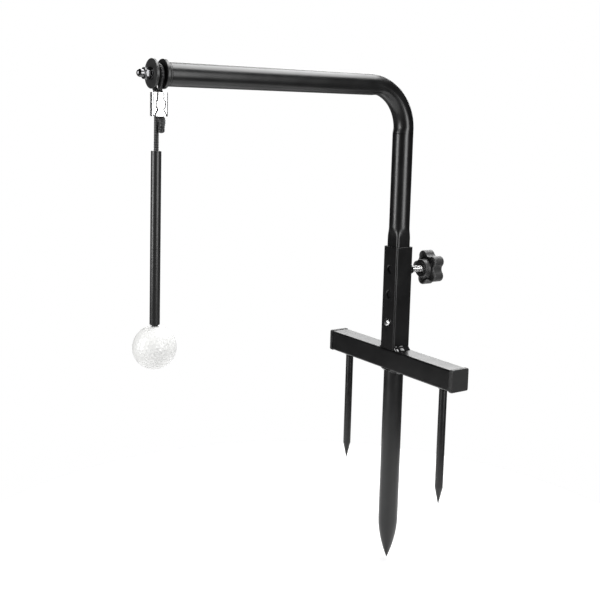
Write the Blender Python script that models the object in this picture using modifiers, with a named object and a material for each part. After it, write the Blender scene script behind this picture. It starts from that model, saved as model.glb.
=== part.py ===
"""Ground-stake swing trainer: a golf ball on a sleeved cord under a height-adjustable bent arm.

The stake is a crossbar with a square post, a long centre spike and two side spikes. A bent tube, formed
square at its foot, slides in the post: a snap button locks it in one of three holes and a star knob clamps
it. The arm carries a small spool that spins on a bolt, and the ball's cord is looped round the spool.

Metres, +Z up. The origin is on the post's axis at the underside of the crossbar, which rests on the ground.
+X runs along the crossbar, and the arm points along -Y.
"""

import math

import bmesh
import bpy
from mathutils import Matrix, Vector

COLLECTION = "swing_trainer"
CLEARANCE = 0.0003

# Stake: crossbar, end caps, post and spikes
SQUARE_TUBE = 0.0236
SQUARE_WALL = 0.0018
SQUARE_CORNER = 0.0020
CROSSBAR_LENGTH = 0.2078
END_CAP_RIM = 0.0045
END_CAP_PROUD = 0.0006
END_CAP_PLUG = 0.0120
END_CAP_ROUND = 0.0010
POST_TOP = 0.1418
HOLE_HEIGHTS = (0.0545, 0.0870, 0.1160)
HOLE_RADIUS = 0.0043
CENTRE_SPIKE_RADIUS = 0.01115
CENTRE_SPIKE_WALL = 0.0015
CENTRE_SPIKE_TIP = -0.2290
CENTRE_SPIKE_SHOULDER = -0.1800
CENTRE_SPIKE_NOSE_BLUNTNESS = 1.85
CENTRE_SPIKE_NOSE_WALL = 0.7
SIDE_SPIKE_RADIUS = 0.0044
SIDE_SPIKE_X = 0.0835
SIDE_SPIKE_TIP = -0.1330
SIDE_SPIKE_SHOULDER = -0.1140
POST_WELD_LEG = 0.0055
SPIKE_WELD_LEG = 0.0034
CENTRE_WELD_LEG = 0.0052
CENTRE_WELD_START = 0.0010
WELD_HOLLOW = 0.85

# Arm: a round tube, bent once, with a square foot
ARM_RADIUS = 0.0116
ARM_WALL = 0.0014
ARM_SQUARE = 0.0193
ARM_SQUARE_CORNER = 0.0025
ARM_FOOT = 0.0360
ARM_AXIS_HEIGHT = 0.3218
BEND_RADIUS = 0.0480
SQUARE_END = 0.1515
ROUND_START = 0.1640
ARM_END = 0.2918
ARM_SIDES = 32
BEND_STEPS = 10

# Snap button and its leaf spring, inside the arm's foot
BUTTON_RADIUS = 0.0037
BUTTON_PROUD = 0.0032
BUTTON_SEAT = 0.0012
BUTTON_DOME = 0.0022
BUTTON_HOLE_RADIUS = 0.0041
SPRING_WIDTH = 0.0060
SPRING_THICKNESS = 0.0006
SPRING_APEX = 0.0400
SPRING_KNEE = 0.0505
SPRING_TOP = 0.0610
SPRING_BEND = 0.0022

# Spool on the arm's end. These are distances from the post's axis, along -Y
PLUG_DEPTH = 0.0190
PLUG_RIM = 0.0018
PLUG_EDGE = 0.0003
REAR_WASHER = (0.2939, 0.2949)
REAR_WASHER_RADIUS = 0.0085
REAR_FLANGE = (0.2952, 0.2984)
DRUM = (0.2987, 0.3067)
FRONT_FLANGE = (0.3070, 0.3097)
FRONT_WASHER = (0.3100, 0.3110)
FRONT_WASHER_RADIUS = 0.0062
HEX_NUT = (0.3113, 0.3160)
CAP_NUT_FLANGE = (0.3163, 0.3173)
CAP_NUT_END = 0.3239
CAP_NUT_RADIUS = 0.0056
CAP_NUT_DOME = 0.0039
AXLE_TIP = 0.3205
AXLE_HEAD = (0.2680, 0.2720)
AXLE_RADIUS = 0.0029
AXLE_BEVEL = 0.0006
AXLE_BORE = 0.0032
FLANGE_RADIUS = 0.01415
FLANGE_CHAMFER = 0.0005
DRUM_RADIUS = 0.0052
HEX_RADIUS = 0.00565

# Cord, rope clip, sleeve and ball. The cord hangs under the spool's groove
CORD_RADIUS = 0.0024
CORD_Y = -0.3034
STRAND_GAP = 0.0049
CLIP_TOP = 0.3046
CLIP_BOTTOM = 0.2822
CLIP_WIDTH = 0.0160
CLIP_SHEET = 0.0008
CLIP_BOSS_HEIGHT = 0.0017
CLIP_BOSS_REACH = (0.0040, 0.0030)
CLIP_NECK_HEIGHT = 0.0011
CLIP_NECK_WIDTH = 0.0030
CLIP_MOUTH_WIDTH = 0.0056
CLIP_BEND = 0.0018
TAIL_END = 0.2665
TAIL_LAP = math.radians(62)
TAIL_LAP_START = 0.2842
TAIL_LAP_HEIGHT = 0.0125
TAIL_LAP_ROOM = 0.0008
STRAND_PARTING = 0.0019
STRAND_PARTING_HEIGHT = 0.3076
STRAND_LEAN = 0.0010
SPOOL_WRAP = math.radians(264)
SWING_PIVOT = 0.2600
SLEEVE_TOP = 0.2498
SLEEVE_BOTTOM = 0.0826
SLEEVE_RADIUS = 0.00495
SLEEVE_BORE = 0.0028
BALL_RADIUS = 0.021335
BALL_CENTRE = 0.0602
BALL_BORE = 0.0037
FERRULE = (0.0560, 0.0660)

# Clamp: a star knob on a threaded stud, through a nut welded to the back of the post
CLAMP_HEIGHT = 0.1140
STUD_RADIUS = 0.0039
STUD_BORE = 0.0043
WELD_NUT_END = 0.0190
WELD_NUT_RADIUS = 0.0064
KNOB_BOSS = 0.0342
KNOB_NEAR = 0.0405
KNOB_FAR = 0.0555
KNOB_BOSS_RADIUS = 0.0104
LOBE_CENTRE = 0.0142
LOBE_RADIUS = 0.0065
VALLEY_RADIUS = 0.0147
LOBES = 5
STUD_END = 0.0480
STUD_BEVEL = 0.0008
KNOB_EDGE = 0.0016

BLACK_COAT = ((0.012, 0.012, 0.013), 0.36, 0.0)
BLACK_PLASTIC = ((0.010, 0.010, 0.010), 0.45, 0.0)
BLACK_SLEEVE = ((0.009, 0.009, 0.009), 0.50, 0.0)
BLACK_CORD = ((0.006, 0.006, 0.006), 0.90, 0.0)
ZINC = ((0.78, 0.78, 0.78), 0.28, 1.0)
SPRING_STEEL = ((0.60, 0.60, 0.62), 0.30, 1.0)
BRASS = ((0.72, 0.56, 0.28), 0.35, 1.0)
WHITE_BALL = ((0.86, 0.86, 0.85), 0.35, 0.0)


def ramp(value, start, length):
    """Rises smoothly from 0 to 1 over that length."""
    share = min(max((value - start) / length, 0.0), 1.0)
    return share * share * (3 - 2 * share)


def clear_scene():
    for obj in list(bpy.data.objects):
        bpy.data.objects.remove(obj)


def new_collection(name):
    collection = bpy.data.collections.new(name)
    bpy.context.scene.collection.children.link(collection)
    return collection


def finish_material(name, look):
    colour, roughness, metallic = look
    material = bpy.data.materials.new(name)
    material.use_nodes = True
    shader = material.node_tree.nodes["Principled BSDF"]
    shader.inputs["Base Color"].default_value = (*colour, 1.0)
    shader.inputs["Roughness"].default_value = roughness
    shader.inputs["Metallic"].default_value = metallic
    return material


def piece(name, mesh, look, smooth=True):
    """Links a mesh as one named sub-part with its own material."""
    obj = bpy.data.objects.new(name, mesh)
    parts.objects.link(obj)
    mesh.name = name
    mesh.materials.append(finish_material(name, look))
    if smooth:
        mesh.shade_smooth()
        mesh.set_sharp_from_angle(angle=math.radians(35))
    return obj


def helper(name, mesh):
    """Links a cutter, which is not a sub-part."""
    obj = bpy.data.objects.new(name, mesh)
    cutters.objects.link(obj)
    obj.hide_render = True
    obj.display_type = "WIRE"
    return obj


def boolean(obj, other, operation="DIFFERENCE"):
    modifier = obj.modifiers.new(operation.lower(), "BOOLEAN")
    modifier.operation = operation
    modifier.object = other
    return modifier


def cylinder_mesh(name, radius, depth, segments=24):
    mesh = bpy.data.meshes.new(name)
    bm = bmesh.new()
    bmesh.ops.create_cone(
        bm, cap_ends=True, segments=segments, radius1=radius, radius2=radius, depth=depth
    )
    bm.to_mesh(mesh)
    bm.free()
    return mesh


def place_along_y(obj, y, z=0.0, towards=1):
    """Turns a piece modelled on +Z to lie along +Y (towards=1) or -Y (towards=-1), from that point."""
    obj.rotation_euler = (-towards * math.pi / 2, 0.0, 0.0)
    obj.location = (0.0, y, z)
    return obj


def rounded_square(side, corner, steps=4):
    """The outline of a square with round corners, anticlockwise."""
    points = []
    reach = side / 2 - corner
    for quarter in range(4):
        middle = quarter * math.pi / 2 + math.pi / 4
        centre = Vector((math.copysign(reach, math.cos(middle)), math.copysign(reach, math.sin(middle))))
        for step in range(steps + 1):
            angle = quarter * math.pi / 2 + step / steps * math.pi / 2
            points.append(centre + corner * Vector((math.cos(angle), math.sin(angle))))
    return points


def polygon(radius, sides, turn=0.0):
    angles = [turn + 2 * math.pi * side / sides for side in range(sides)]
    return [Vector((radius * math.cos(angle), radius * math.sin(angle))) for angle in angles]


def extruded_mesh(name, outlines, low, high):
    """A flat outline, with any inner outlines as holes, extruded along Z from low to high."""
    curve = bpy.data.curves.new(name, "CURVE")
    curve.dimensions = "2D"
    curve.fill_mode = "BOTH"
    curve.extrude = (high - low) / 2
    for outline in outlines:
        spline = curve.splines.new("POLY")
        spline.points.add(len(outline) - 1)
        for point, corner in zip(spline.points, outline):
            point.co = (corner.x, corner.y, 0.0, 1.0)
        spline.use_cyclic_u = True
    mesh = curve_to_mesh(name, curve)
    mesh.transform(Matrix.Translation((0.0, 0.0, (low + high) / 2)))
    return mesh


def curve_to_mesh(name, curve):
    guide = bpy.data.objects.new(name + "_curve", curve)
    bpy.context.scene.collection.objects.link(guide)
    graph = bpy.context.evaluated_depsgraph_get()
    mesh = bpy.data.meshes.new_from_object(guide.evaluated_get(graph))
    bpy.data.objects.remove(guide)
    bm = bmesh.new()
    bm.from_mesh(mesh)
    bmesh.ops.remove_doubles(bm, verts=bm.verts, dist=1e-6)
    bmesh.ops.recalc_face_normals(bm, faces=bm.faces)
    bm.to_mesh(mesh)
    bm.free()
    return mesh


def turned(name, profile, look, steps=24, closed=False):
    """A shape turned about Z from (radius, height) points that run down its outer side."""
    mesh = bpy.data.meshes.new(name)
    bm = bmesh.new()
    corners = [bm.verts.new((radius, 0.0, height)) for radius, height in profile]
    for first, second in zip(corners, corners[1:]):
        bm.edges.new((first, second))
    if closed:
        bm.edges.new((corners[-1], corners[0]))
    bm.to_mesh(mesh)
    bm.free()
    obj = piece(name, mesh, look, smooth=False)
    screw = obj.modifiers.new("turn", "SCREW")
    screw.axis = "Z"
    screw.steps = steps
    screw.render_steps = steps
    screw.use_merge_vertices = True
    screw.merge_threshold = 0.000005
    screw.use_smooth_shade = True
    return obj


def ring(name, outer, reach, look, steps=24, chamfer=0.0):
    """A disc bored for the axle, between two distances from the post's axis, at the arm's height."""
    start, end = reach
    length = end - start
    profile = [
        (outer - chamfer, length),
        (outer, length - chamfer),
        (outer, chamfer),
        (outer - chamfer, 0.0),
        (AXLE_BORE, 0.0),
        (AXLE_BORE, length),
    ]
    if chamfer == 0.0:
        profile = [(outer, length), (outer, 0.0), (AXLE_BORE, 0.0), (AXLE_BORE, length)]
    obj = turned(name, profile, look, steps, closed=True)
    return place_along_y(obj, -start, ARM_AXIS_HEIGHT, towards=-1)


# Stake


def make_crossbar():
    inner = SQUARE_TUBE - 2 * SQUARE_WALL
    outlines = [
        rounded_square(SQUARE_TUBE, SQUARE_CORNER),
        rounded_square(inner, SQUARE_CORNER / 2, steps=2),
    ]
    half = CROSSBAR_LENGTH / 2
    obj = piece("crossbar", extruded_mesh("crossbar", outlines, -half, half), BLACK_COAT)
    obj.rotation_euler = (0.0, math.pi / 2, 0.0)
    obj.location = (0.0, 0.0, SQUARE_TUBE / 2)
    for side, name in ((-1, "left"), (1, "right")):
        make_end_cap("end_cap_" + name, side)


def make_end_cap(name, side):
    """A moulded cap: a rounded rim on the tube's end, and a plug inside the tube."""
    rim_side = SQUARE_TUBE + 2 * END_CAP_PROUD
    plug_side = SQUARE_TUBE - 2 * SQUARE_WALL - 2 * CLEARANCE
    layers = [
        (rounded_square(plug_side, SQUARE_CORNER / 2), -END_CAP_PLUG),
        (rounded_square(plug_side, SQUARE_CORNER / 2), 0.0),
        (rounded_square(rim_side, SQUARE_CORNER), 0.0),
        (rounded_square(rim_side, SQUARE_CORNER), END_CAP_RIM - END_CAP_ROUND),
        (rounded_square(rim_side - 2 * END_CAP_ROUND, SQUARE_CORNER - END_CAP_ROUND / 2), END_CAP_RIM),
    ]
    obj = piece(name, layered_mesh(name, layers), BLACK_PLASTIC)
    obj.rotation_euler = (0.0, side * math.pi / 2, 0.0)
    obj.location = (side * (CROSSBAR_LENGTH / 2 + CLEARANCE), 0.0, SQUARE_TUBE / 2)


def layered_mesh(name, layers):
    """A closed skin through outlines of the same point count, each at its own height."""
    mesh = bpy.data.meshes.new(name)
    bm = bmesh.new()
    loops = [[bm.verts.new((p.x, p.y, height)) for p in outline] for outline, height in layers]
    for low, high in zip(loops, loops[1:]):
        for index in range(len(low)):
            after = (index + 1) % len(low)
            bm.faces.new((low[index], low[after], high[after], high[index]))
    bm.faces.new(reversed(loops[0]))
    bm.faces.new(loops[-1])
    bm.to_mesh(mesh)
    bm.free()
    return mesh


def make_post():
    inner = SQUARE_TUBE - 2 * SQUARE_WALL
    outlines = [
        rounded_square(SQUARE_TUBE, SQUARE_CORNER),
        rounded_square(inner, SQUARE_CORNER / 3, steps=2),
    ]
    foot = SQUARE_TUBE + CLEARANCE
    post = piece("post", extruded_mesh("post", outlines, foot, POST_TOP), BLACK_COAT)
    for number, height in enumerate(HOLE_HEIGHTS, start=1):
        drill = helper(f"height_hole_{number}", cylinder_mesh("drill", HOLE_RADIUS, SQUARE_TUBE / 2))
        place_along_y(drill, -SQUARE_TUBE / 2, height)
        boolean(post, drill)
    drill = helper("clamp_hole", cylinder_mesh("drill", STUD_BORE, SQUARE_TUBE / 2))
    place_along_y(drill, SQUARE_TUBE / 2, CLAMP_HEIGHT)
    boolean(post, drill)


def make_weld_nut():
    """The nut that the clamp stud turns in, on the back of the post."""
    start = SQUARE_TUBE / 2 + CLEARANCE
    outlines = [polygon(WELD_NUT_RADIUS, 6, math.pi / 6), polygon(STUD_BORE, 20)]
    nut = piece("weld_nut", extruded_mesh("weld_nut", outlines, 0.0, WELD_NUT_END - start), BLACK_COAT)
    place_along_y(nut, start, CLAMP_HEIGHT)


def make_centre_spike():
    """A tube, open at the top against the crossbar, swaged to a pointed nose."""
    top = -CLEARANCE
    nose = CENTRE_SPIKE_SHOULDER - CENTRE_SPIKE_TIP
    profile = [(CENTRE_SPIKE_RADIUS, top)]
    steps = 8
    for step in range(steps + 1):
        along = step / steps
        radius = CENTRE_SPIKE_RADIUS * (1 - along**CENTRE_SPIKE_NOSE_BLUNTNESS)
        profile.append((radius, CENTRE_SPIKE_SHOULDER - along * nose))
    bore = CENTRE_SPIKE_RADIUS - CENTRE_SPIKE_WALL
    bore_tip = CENTRE_SPIKE_TIP + CENTRE_SPIKE_NOSE_WALL * nose
    profile += [(0.0, bore_tip), (bore, CENTRE_SPIKE_SHOULDER), (bore, top)]
    turned("centre_spike", profile, BLACK_COAT, steps=32, closed=True)


def make_side_spike(name, x):
    profile = [
        (0.0, -CLEARANCE),
        (SIDE_SPIKE_RADIUS, -CLEARANCE),
        (SIDE_SPIKE_RADIUS, SIDE_SPIKE_SHOULDER),
        (0.0, SIDE_SPIKE_TIP),
    ]
    spike = turned(name, profile, BLACK_COAT, steps=20)
    spike.location.x = x


def fillet_outline(leg, steps=4):
    """A hollow-faced weld section in the corner between two walls, which are +X and +Y from the origin."""
    outline = [Vector((0.0, 0.0))]
    for step in range(steps + 1):
        angle = math.pi / 2 * step / steps
        across = leg * (1 - math.sin(angle) * WELD_HOLLOW)
        outline.append(Vector((across, leg * (1 - math.cos(angle) * WELD_HOLLOW))))
    return outline


def make_post_weld(name, side):
    """The bead along one side of the post's foot, on top of the crossbar."""
    half = SQUARE_TUBE / 2 - SQUARE_CORNER
    bead = piece(name, extruded_mesh(name, [fillet_outline(POST_WELD_LEG)], -half, half), BLACK_COAT)
    bead.matrix_world = Matrix(
        (
            (side, 0.0, 0.0, side * (SQUARE_TUBE / 2 + CLEARANCE)),
            (0.0, 0.0, -side, 0.0),
            (0.0, 1.0, 0.0, SQUARE_TUBE + CLEARANCE),
            (0.0, 0.0, 0.0, 1.0),
        )
    )


def turned_weld(name, spike_radius, leg, steps):
    """A bead round the top of a spike, under the crossbar."""
    bore = spike_radius + CLEARANCE
    middle = leg * (1 - WELD_HOLLOW * math.sqrt(0.5))
    profile = [
        (bore + leg, -CLEARANCE),
        (bore + middle, -CLEARANCE - middle),
        (bore, -CLEARANCE - leg),
        (bore, -CLEARANCE),
    ]
    return turned(name, profile, BLACK_COAT, steps, closed=True)


def make_spike_weld(name, x):
    weld = turned_weld(name, SIDE_SPIKE_RADIUS, SPIKE_WELD_LEG, steps=20)
    weld.location.x = x


def make_centre_weld(name, side):
    """The bead on one side of the centre spike, which is as wide as the crossbar."""
    weld = turned_weld(name, CENTRE_SPIKE_RADIUS, CENTRE_WELD_LEG, steps=32)
    width = SQUARE_TUBE - 2 * SQUARE_CORNER
    length = CENTRE_SPIKE_RADIUS + 2 * CENTRE_WELD_LEG
    mesh = bpy.data.meshes.new("room")
    bm = bmesh.new()
    bmesh.ops.create_cube(bm, size=1.0, matrix=Matrix.Diagonal((length, width, 4 * CENTRE_WELD_LEG, 1.0)))
    bm.to_mesh(mesh)
    bm.free()
    room = helper(name + "_room", mesh)
    room.location.x = side * (length / 2 + CENTRE_WELD_START)
    boolean(weld, room, "INTERSECT")


# Arm


def polar_square(angle, side, corner):
    """How far a rounded square's edge is from its centre, in that direction."""
    turn = abs((angle + math.pi / 4) % (math.pi / 2) - math.pi / 4)
    flat = side / 2
    reach = flat - corner
    if math.tan(turn) <= reach / flat:
        return flat / math.cos(turn)
    along = reach * (math.cos(turn) + math.sin(turn))
    return along + math.sqrt(max(0.0, along**2 - 2 * reach**2 + corner**2))


def arm_section(inset, squareness):
    """One ring of the arm's tube, as (across, forward) points: round at 0, square at 1."""
    section = []
    for index in range(ARM_SIDES):
        angle = 2 * math.pi * index / ARM_SIDES
        square = polar_square(angle, ARM_SQUARE - 2 * inset, ARM_SQUARE_CORNER - inset * 0.6)
        reach = (1 - squareness) * (ARM_RADIUS - inset) + squareness * square
        section.append((reach * math.cos(angle), reach * math.sin(angle)))
    return section


def arm_stations():
    """(centre, forward direction, squareness) along the arm, from its foot to its free end."""
    up = Vector((0.0, 1.0, 0.0))
    stations = [(Vector((0.0, 0.0, ARM_FOOT)), up, 1.0)]
    steps = 4
    for step in range(steps + 1):
        along = step / steps
        height = SQUARE_END + along * (ROUND_START - SQUARE_END)
        stations.append((Vector((0.0, 0.0, height)), up, 1.0 - ramp(along, 0.0, 1.0)))
    for step in range(BEND_STEPS + 1):
        angle = math.pi / 2 * step / BEND_STEPS
        centre = Vector(
            (
                0.0,
                -BEND_RADIUS * (1 - math.cos(angle)),
                ARM_AXIS_HEIGHT - BEND_RADIUS * (1 - math.sin(angle)),
            )
        )
        stations.append((centre, Vector((0.0, math.cos(angle), math.sin(angle))), 0.0))
    stations.append((Vector((0.0, -ARM_END, ARM_AXIS_HEIGHT)), Vector((0.0, 0.0, 1.0)), 0.0))
    return stations


def make_arm():
    bm = bmesh.new()
    skins = []
    for inset in (0.0, ARM_WALL):
        rings = []
        for centre, forward, squareness in arm_stations():
            points = [
                centre + Vector((across, 0.0, 0.0)) + ahead * forward
                for across, ahead in arm_section(inset, squareness)
            ]
            rings.append([bm.verts.new(point) for point in points])
        skins.append(rings)
    outer, inner = skins
    for rings, flip in ((outer, False), (inner, True)):
        for low, high in zip(rings, rings[1:]):
            join_rings(bm, low, high, flip)
    join_rings(bm, inner[0], outer[0], False)
    join_rings(bm, outer[-1], inner[-1], False)
    mesh = bpy.data.meshes.new("arm_tube")
    bm.to_mesh(mesh)
    bm.free()
    arm = piece("arm_tube", mesh, BLACK_COAT)
    drill = helper("button_hole", cylinder_mesh("drill", BUTTON_HOLE_RADIUS, ARM_SQUARE / 2))
    place_along_y(drill, -ARM_SQUARE / 2, HOLE_HEIGHTS[0])
    boolean(arm, drill)


def join_rings(bm, low, high, flip):
    for index in range(len(low)):
        after = (index + 1) % len(low)
        corners = (low[index], low[after], high[after], high[index])
        bm.faces.new(tuple(reversed(corners)) if flip else corners)


def make_snap_button():
    """The button head, which stands out through the arm and the post's lowest hole."""
    inner_end = -ARM_SQUARE / 2 + ARM_WALL + BUTTON_SEAT
    length = SQUARE_TUBE / 2 + BUTTON_PROUD + inner_end
    profile = [(0.0, length)]
    steps = 4
    for step in range(1, steps + 1):
        angle = math.pi / 2 * step / steps
        profile.append((BUTTON_RADIUS * math.sin(angle), length - BUTTON_DOME * (1 - math.cos(angle))))
    profile += [(BUTTON_RADIUS, 0.0), (0.0, 0.0)]
    button = turned("snap_button", profile, ZINC, steps=20)
    place_along_y(button, inner_end, HOLE_HEIGHTS[0], towards=-1)


def make_snap_spring():
    """A V of spring strip behind the button, with its other leaf on the arm's back wall."""
    front = -ARM_SQUARE / 2 + ARM_WALL + BUTTON_SEAT + CLEARANCE + SPRING_THICKNESS / 2
    back = ARM_SQUARE / 2 - ARM_WALL - CLEARANCE - SPRING_THICKNESS / 2
    line = [Vector((front, SPRING_TOP)), Vector((front, SPRING_KNEE))]
    for step in range(5):
        angle = math.pi + math.pi * step / 4
        centre = Vector((0.0, SPRING_APEX + SPRING_BEND))
        line.append(centre + SPRING_BEND * Vector((math.cos(angle), math.sin(angle))))
    line += [Vector((back, HOLE_HEIGHTS[0])), Vector((back, SPRING_TOP))]
    bm = bmesh.new()
    rows = [[bm.verts.new((x, p.x, p.y)) for x in (-SPRING_WIDTH / 2, SPRING_WIDTH / 2)] for p in line]
    for low, high in zip(rows, rows[1:]):
        bm.faces.new((low[0], low[1], high[1], high[0]))
    mesh = bpy.data.meshes.new("snap_spring")
    bm.to_mesh(mesh)
    bm.free()
    spring = piece("snap_spring", mesh, SPRING_STEEL)
    solid = spring.modifiers.new("sheet", "SOLIDIFY")
    solid.thickness = SPRING_THICKNESS
    solid.offset = 0.0


def make_arm_plug():
    """The bored plug in the arm's free end, with a rim against the tube."""
    inner = ARM_RADIUS - ARM_WALL - CLEARANCE
    rim = PLUG_RIM
    profile = [
        (ARM_RADIUS - PLUG_EDGE, rim),
        (ARM_RADIUS, rim - PLUG_EDGE),
        (ARM_RADIUS, 0.0),
        (inner, 0.0),
        (inner, -PLUG_DEPTH),
        (AXLE_BORE, -PLUG_DEPTH),
        (AXLE_BORE, rim),
    ]
    plug = turned("arm_end_plug", profile, BLACK_PLASTIC, steps=28, closed=True)
    place_along_y(plug, -ARM_END - CLEARANCE, ARM_AXIS_HEIGHT, towards=-1)


def make_axle():
    """A hexagon-headed bolt from inside the arm, out through the plug, spool and nuts."""
    head_start, head_end = AXLE_HEAD
    length = AXLE_TIP - head_end
    head = polygon(HEX_RADIUS, 24)
    shank = polygon(AXLE_RADIUS, 24)
    tip = polygon(AXLE_RADIUS - AXLE_BEVEL, 24)
    hexagon = [Vector((p.x, p.y)) * hexagon_scale(p) for p in head]
    layers = [
        (hexagon, -(head_end - head_start)),
        (hexagon, 0.0),
        (shank, 0.0),
        (shank, length - AXLE_BEVEL),
        (tip, length),
    ]
    axle = piece("axle_bolt", layered_mesh("axle_bolt", layers), ZINC)
    place_along_y(axle, -head_end, ARM_AXIS_HEIGHT, towards=-1)


def hexagon_scale(point):
    """Draws a circle's point in to the hexagon with its corners on that circle."""
    turn = math.atan2(point.y, point.x) % (math.pi / 3) - math.pi / 6
    return math.cos(math.pi / 6) / math.cos(turn)


def make_hex_nut():
    start, end = HEX_NUT
    outlines = [polygon(HEX_RADIUS, 6, math.pi / 6), polygon(AXLE_BORE, 20)]
    nut = piece("hex_nut", extruded_mesh("hex_nut", outlines, 0.0, end - start), ZINC)
    place_along_y(nut, -start, ARM_AXIS_HEIGHT, towards=-1)


def make_cap_nut():
    """The closed domed nut with a thin flange that covers the end of the axle."""
    start, flange_end = CAP_NUT_FLANGE
    flange = flange_end - start
    end = CAP_NUT_END - start
    steps = 5
    profile = [(0.0, end)]
    for step in range(1, steps + 1):
        angle = math.pi / 2 * step / steps
        profile.append((CAP_NUT_DOME * math.sin(angle), end - CAP_NUT_DOME * (1 - math.cos(angle))))
    profile += [
        (CAP_NUT_DOME, flange),
        (CAP_NUT_RADIUS, flange),
        (CAP_NUT_RADIUS, 0.0),
        (AXLE_BORE, 0.0),
        (AXLE_BORE, AXLE_TIP + CLEARANCE - start),
        (0.0, AXLE_TIP + CLEARANCE - start),
    ]
    nut = turned("cap_nut", profile, ZINC, steps=24)
    place_along_y(nut, -start, ARM_AXIS_HEIGHT, towards=-1)


# Spool, cord, clip and ball


def make_spool():
    ring("rear_washer", REAR_WASHER_RADIUS, REAR_WASHER, ZINC)
    ring("rear_flange", FLANGE_RADIUS, REAR_FLANGE, BLACK_PLASTIC, steps=32, chamfer=FLANGE_CHAMFER)
    ring("spool_drum", DRUM_RADIUS, DRUM, BLACK_PLASTIC)
    ring("front_flange", FLANGE_RADIUS, FRONT_FLANGE, BLACK_PLASTIC, steps=32, chamfer=FLANGE_CHAMFER)
    ring("front_washer", FRONT_WASHER_RADIUS, FRONT_WASHER, ZINC)


def tail_route():
    """The cut tail from its end up into the clip. It laps a quarter turn round the main strand."""
    points = []
    steps = 8
    for step in range(steps + 1):
        height = TAIL_END + (TAIL_LAP_START - TAIL_END) * step / steps
        turn = TAIL_LAP * ramp(TAIL_LAP_START - height, 0.0, TAIL_LAP_HEIGHT)
        reach = STRAND_GAP + TAIL_LAP_ROOM * turn / TAIL_LAP
        points.append(Vector((reach * math.sin(turn), CORD_Y + reach * math.cos(turn), height)))
    return points


def cord_route():
    """The cord's middle line from its cut tail, up through the clip, over the spool and down to the pivot."""
    loop_radius = DRUM_RADIUS + CORD_RADIUS + CLEARANCE
    side_room = CORD_RADIUS + CLEARANCE
    rear_y = -REAR_FLANGE[1] - side_room
    front_y = -FRONT_FLANGE[0] + side_room
    tail_y = CORD_Y + STRAND_GAP
    clip_middle = (CLIP_BOTTOM + CLIP_TOP) / 2
    points = tail_route()
    points += [
        Vector((0.0, tail_y, clip_middle)),
        Vector((0.0, tail_y - STRAND_LEAN, CLIP_TOP)),
        Vector((STRAND_PARTING, rear_y, STRAND_PARTING_HEIGHT)),
    ]
    first = (math.pi - SPOOL_WRAP) / 2
    steps = 14
    for step in range(steps + 1):
        along = step / steps
        angle = first + SPOOL_WRAP * along
        points.append(
            Vector(
                (
                    loop_radius * math.cos(angle),
                    rear_y + (front_y - rear_y) * along,
                    ARM_AXIS_HEIGHT + loop_radius * math.sin(angle),
                )
            )
        )
    points += [
        Vector((-STRAND_PARTING, front_y, STRAND_PARTING_HEIGHT)),
        Vector((0.0, CORD_Y - STRAND_LEAN, CLIP_TOP)),
        Vector((0.0, CORD_Y, clip_middle)),
        Vector((0.0, CORD_Y, CLIP_BOTTOM)),
        Vector((0.0, CORD_Y, (CLIP_BOTTOM + SWING_PIVOT) / 2)),
        Vector((0.0, CORD_Y, SWING_PIVOT)),
    ]
    return points


def smooth_line(points, spacing):
    """Points about a spacing apart on the smooth curve through the given ones."""
    line = []
    last = len(points) - 1
    for index in range(last):
        before = points[max(index - 1, 0)]
        start = points[index]
        end = points[index + 1]
        after = points[min(index + 2, last)]
        steps = max(1, round((end - start).length / spacing))
        for step in range(steps):
            t = step / steps
            line.append(
                0.5
                * (
                    2 * start
                    + (end - before) * t
                    + (2 * before - 5 * start + 4 * end - after) * t**2
                    + (3 * start - before - 3 * end + after) * t**3
                )
            )
    line.append(points[last])
    return line


def cord_mesh(name, points, round_end=False):
    """A cord along these points. A round end is half a ball below the last point."""
    curve = bpy.data.curves.new(name, "CURVE")
    curve.dimensions = "3D"
    curve.bevel_depth = CORD_RADIUS
    curve.bevel_resolution = 2
    curve.use_fill_caps = True
    places = [(point, 1.0) for point in points]
    if round_end:
        for angle in (math.radians(30), math.radians(55), math.radians(80)):
            drop = Vector((0.0, 0.0, CORD_RADIUS * math.sin(angle)))
            places.append((points[-1] - drop, math.cos(angle)))
    spline = curve.splines.new("POLY")
    spline.points.add(len(places) - 1)
    for corner, (point, radius) in zip(spline.points, places):
        corner.co = (*point, 1.0)
        corner.radius = radius
    return curve_to_mesh(name, curve)


def make_cord():
    """The cord in two solids that meet at the pivot, each with room for the other to swing."""
    route = smooth_line(cord_route(), 2.0 * CORD_RADIUS)
    piece("cord_loop", cord_mesh("cord_loop", route, round_end=True), BLACK_CORD)
    start = SWING_PIVOT - CORD_RADIUS - CLEARANCE
    points = [Vector((0.0, CORD_Y, height)) for height in (start, SLEEVE_TOP, SLEEVE_BOTTOM, FERRULE[0])]
    piece("cord_drop", cord_mesh("cord_drop", points), BLACK_CORD)


def clip_height(y, z):
    """How far a clip half's face stands out, at a place across (y) and up (z) from its middle."""
    across, upwards = CLIP_BOSS_REACH
    pillow = CLIP_BOSS_HEIGHT * (1 - ramp(abs(y), across, CLIP_BEND)) * (1 - ramp(abs(z), upwards, CLIP_BEND))
    mouth = ramp(-z, upwards + CLIP_BEND, (CLIP_TOP - CLIP_BOTTOM) / 4)
    width = CLIP_NECK_WIDTH + (CLIP_MOUTH_WIDTH - CLIP_NECK_WIDTH) * mouth
    neck = CLIP_NECK_HEIGHT * (1 - ramp(abs(y), width - CLIP_BEND / 4, CLIP_BEND))
    return max(pillow, neck)


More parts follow.
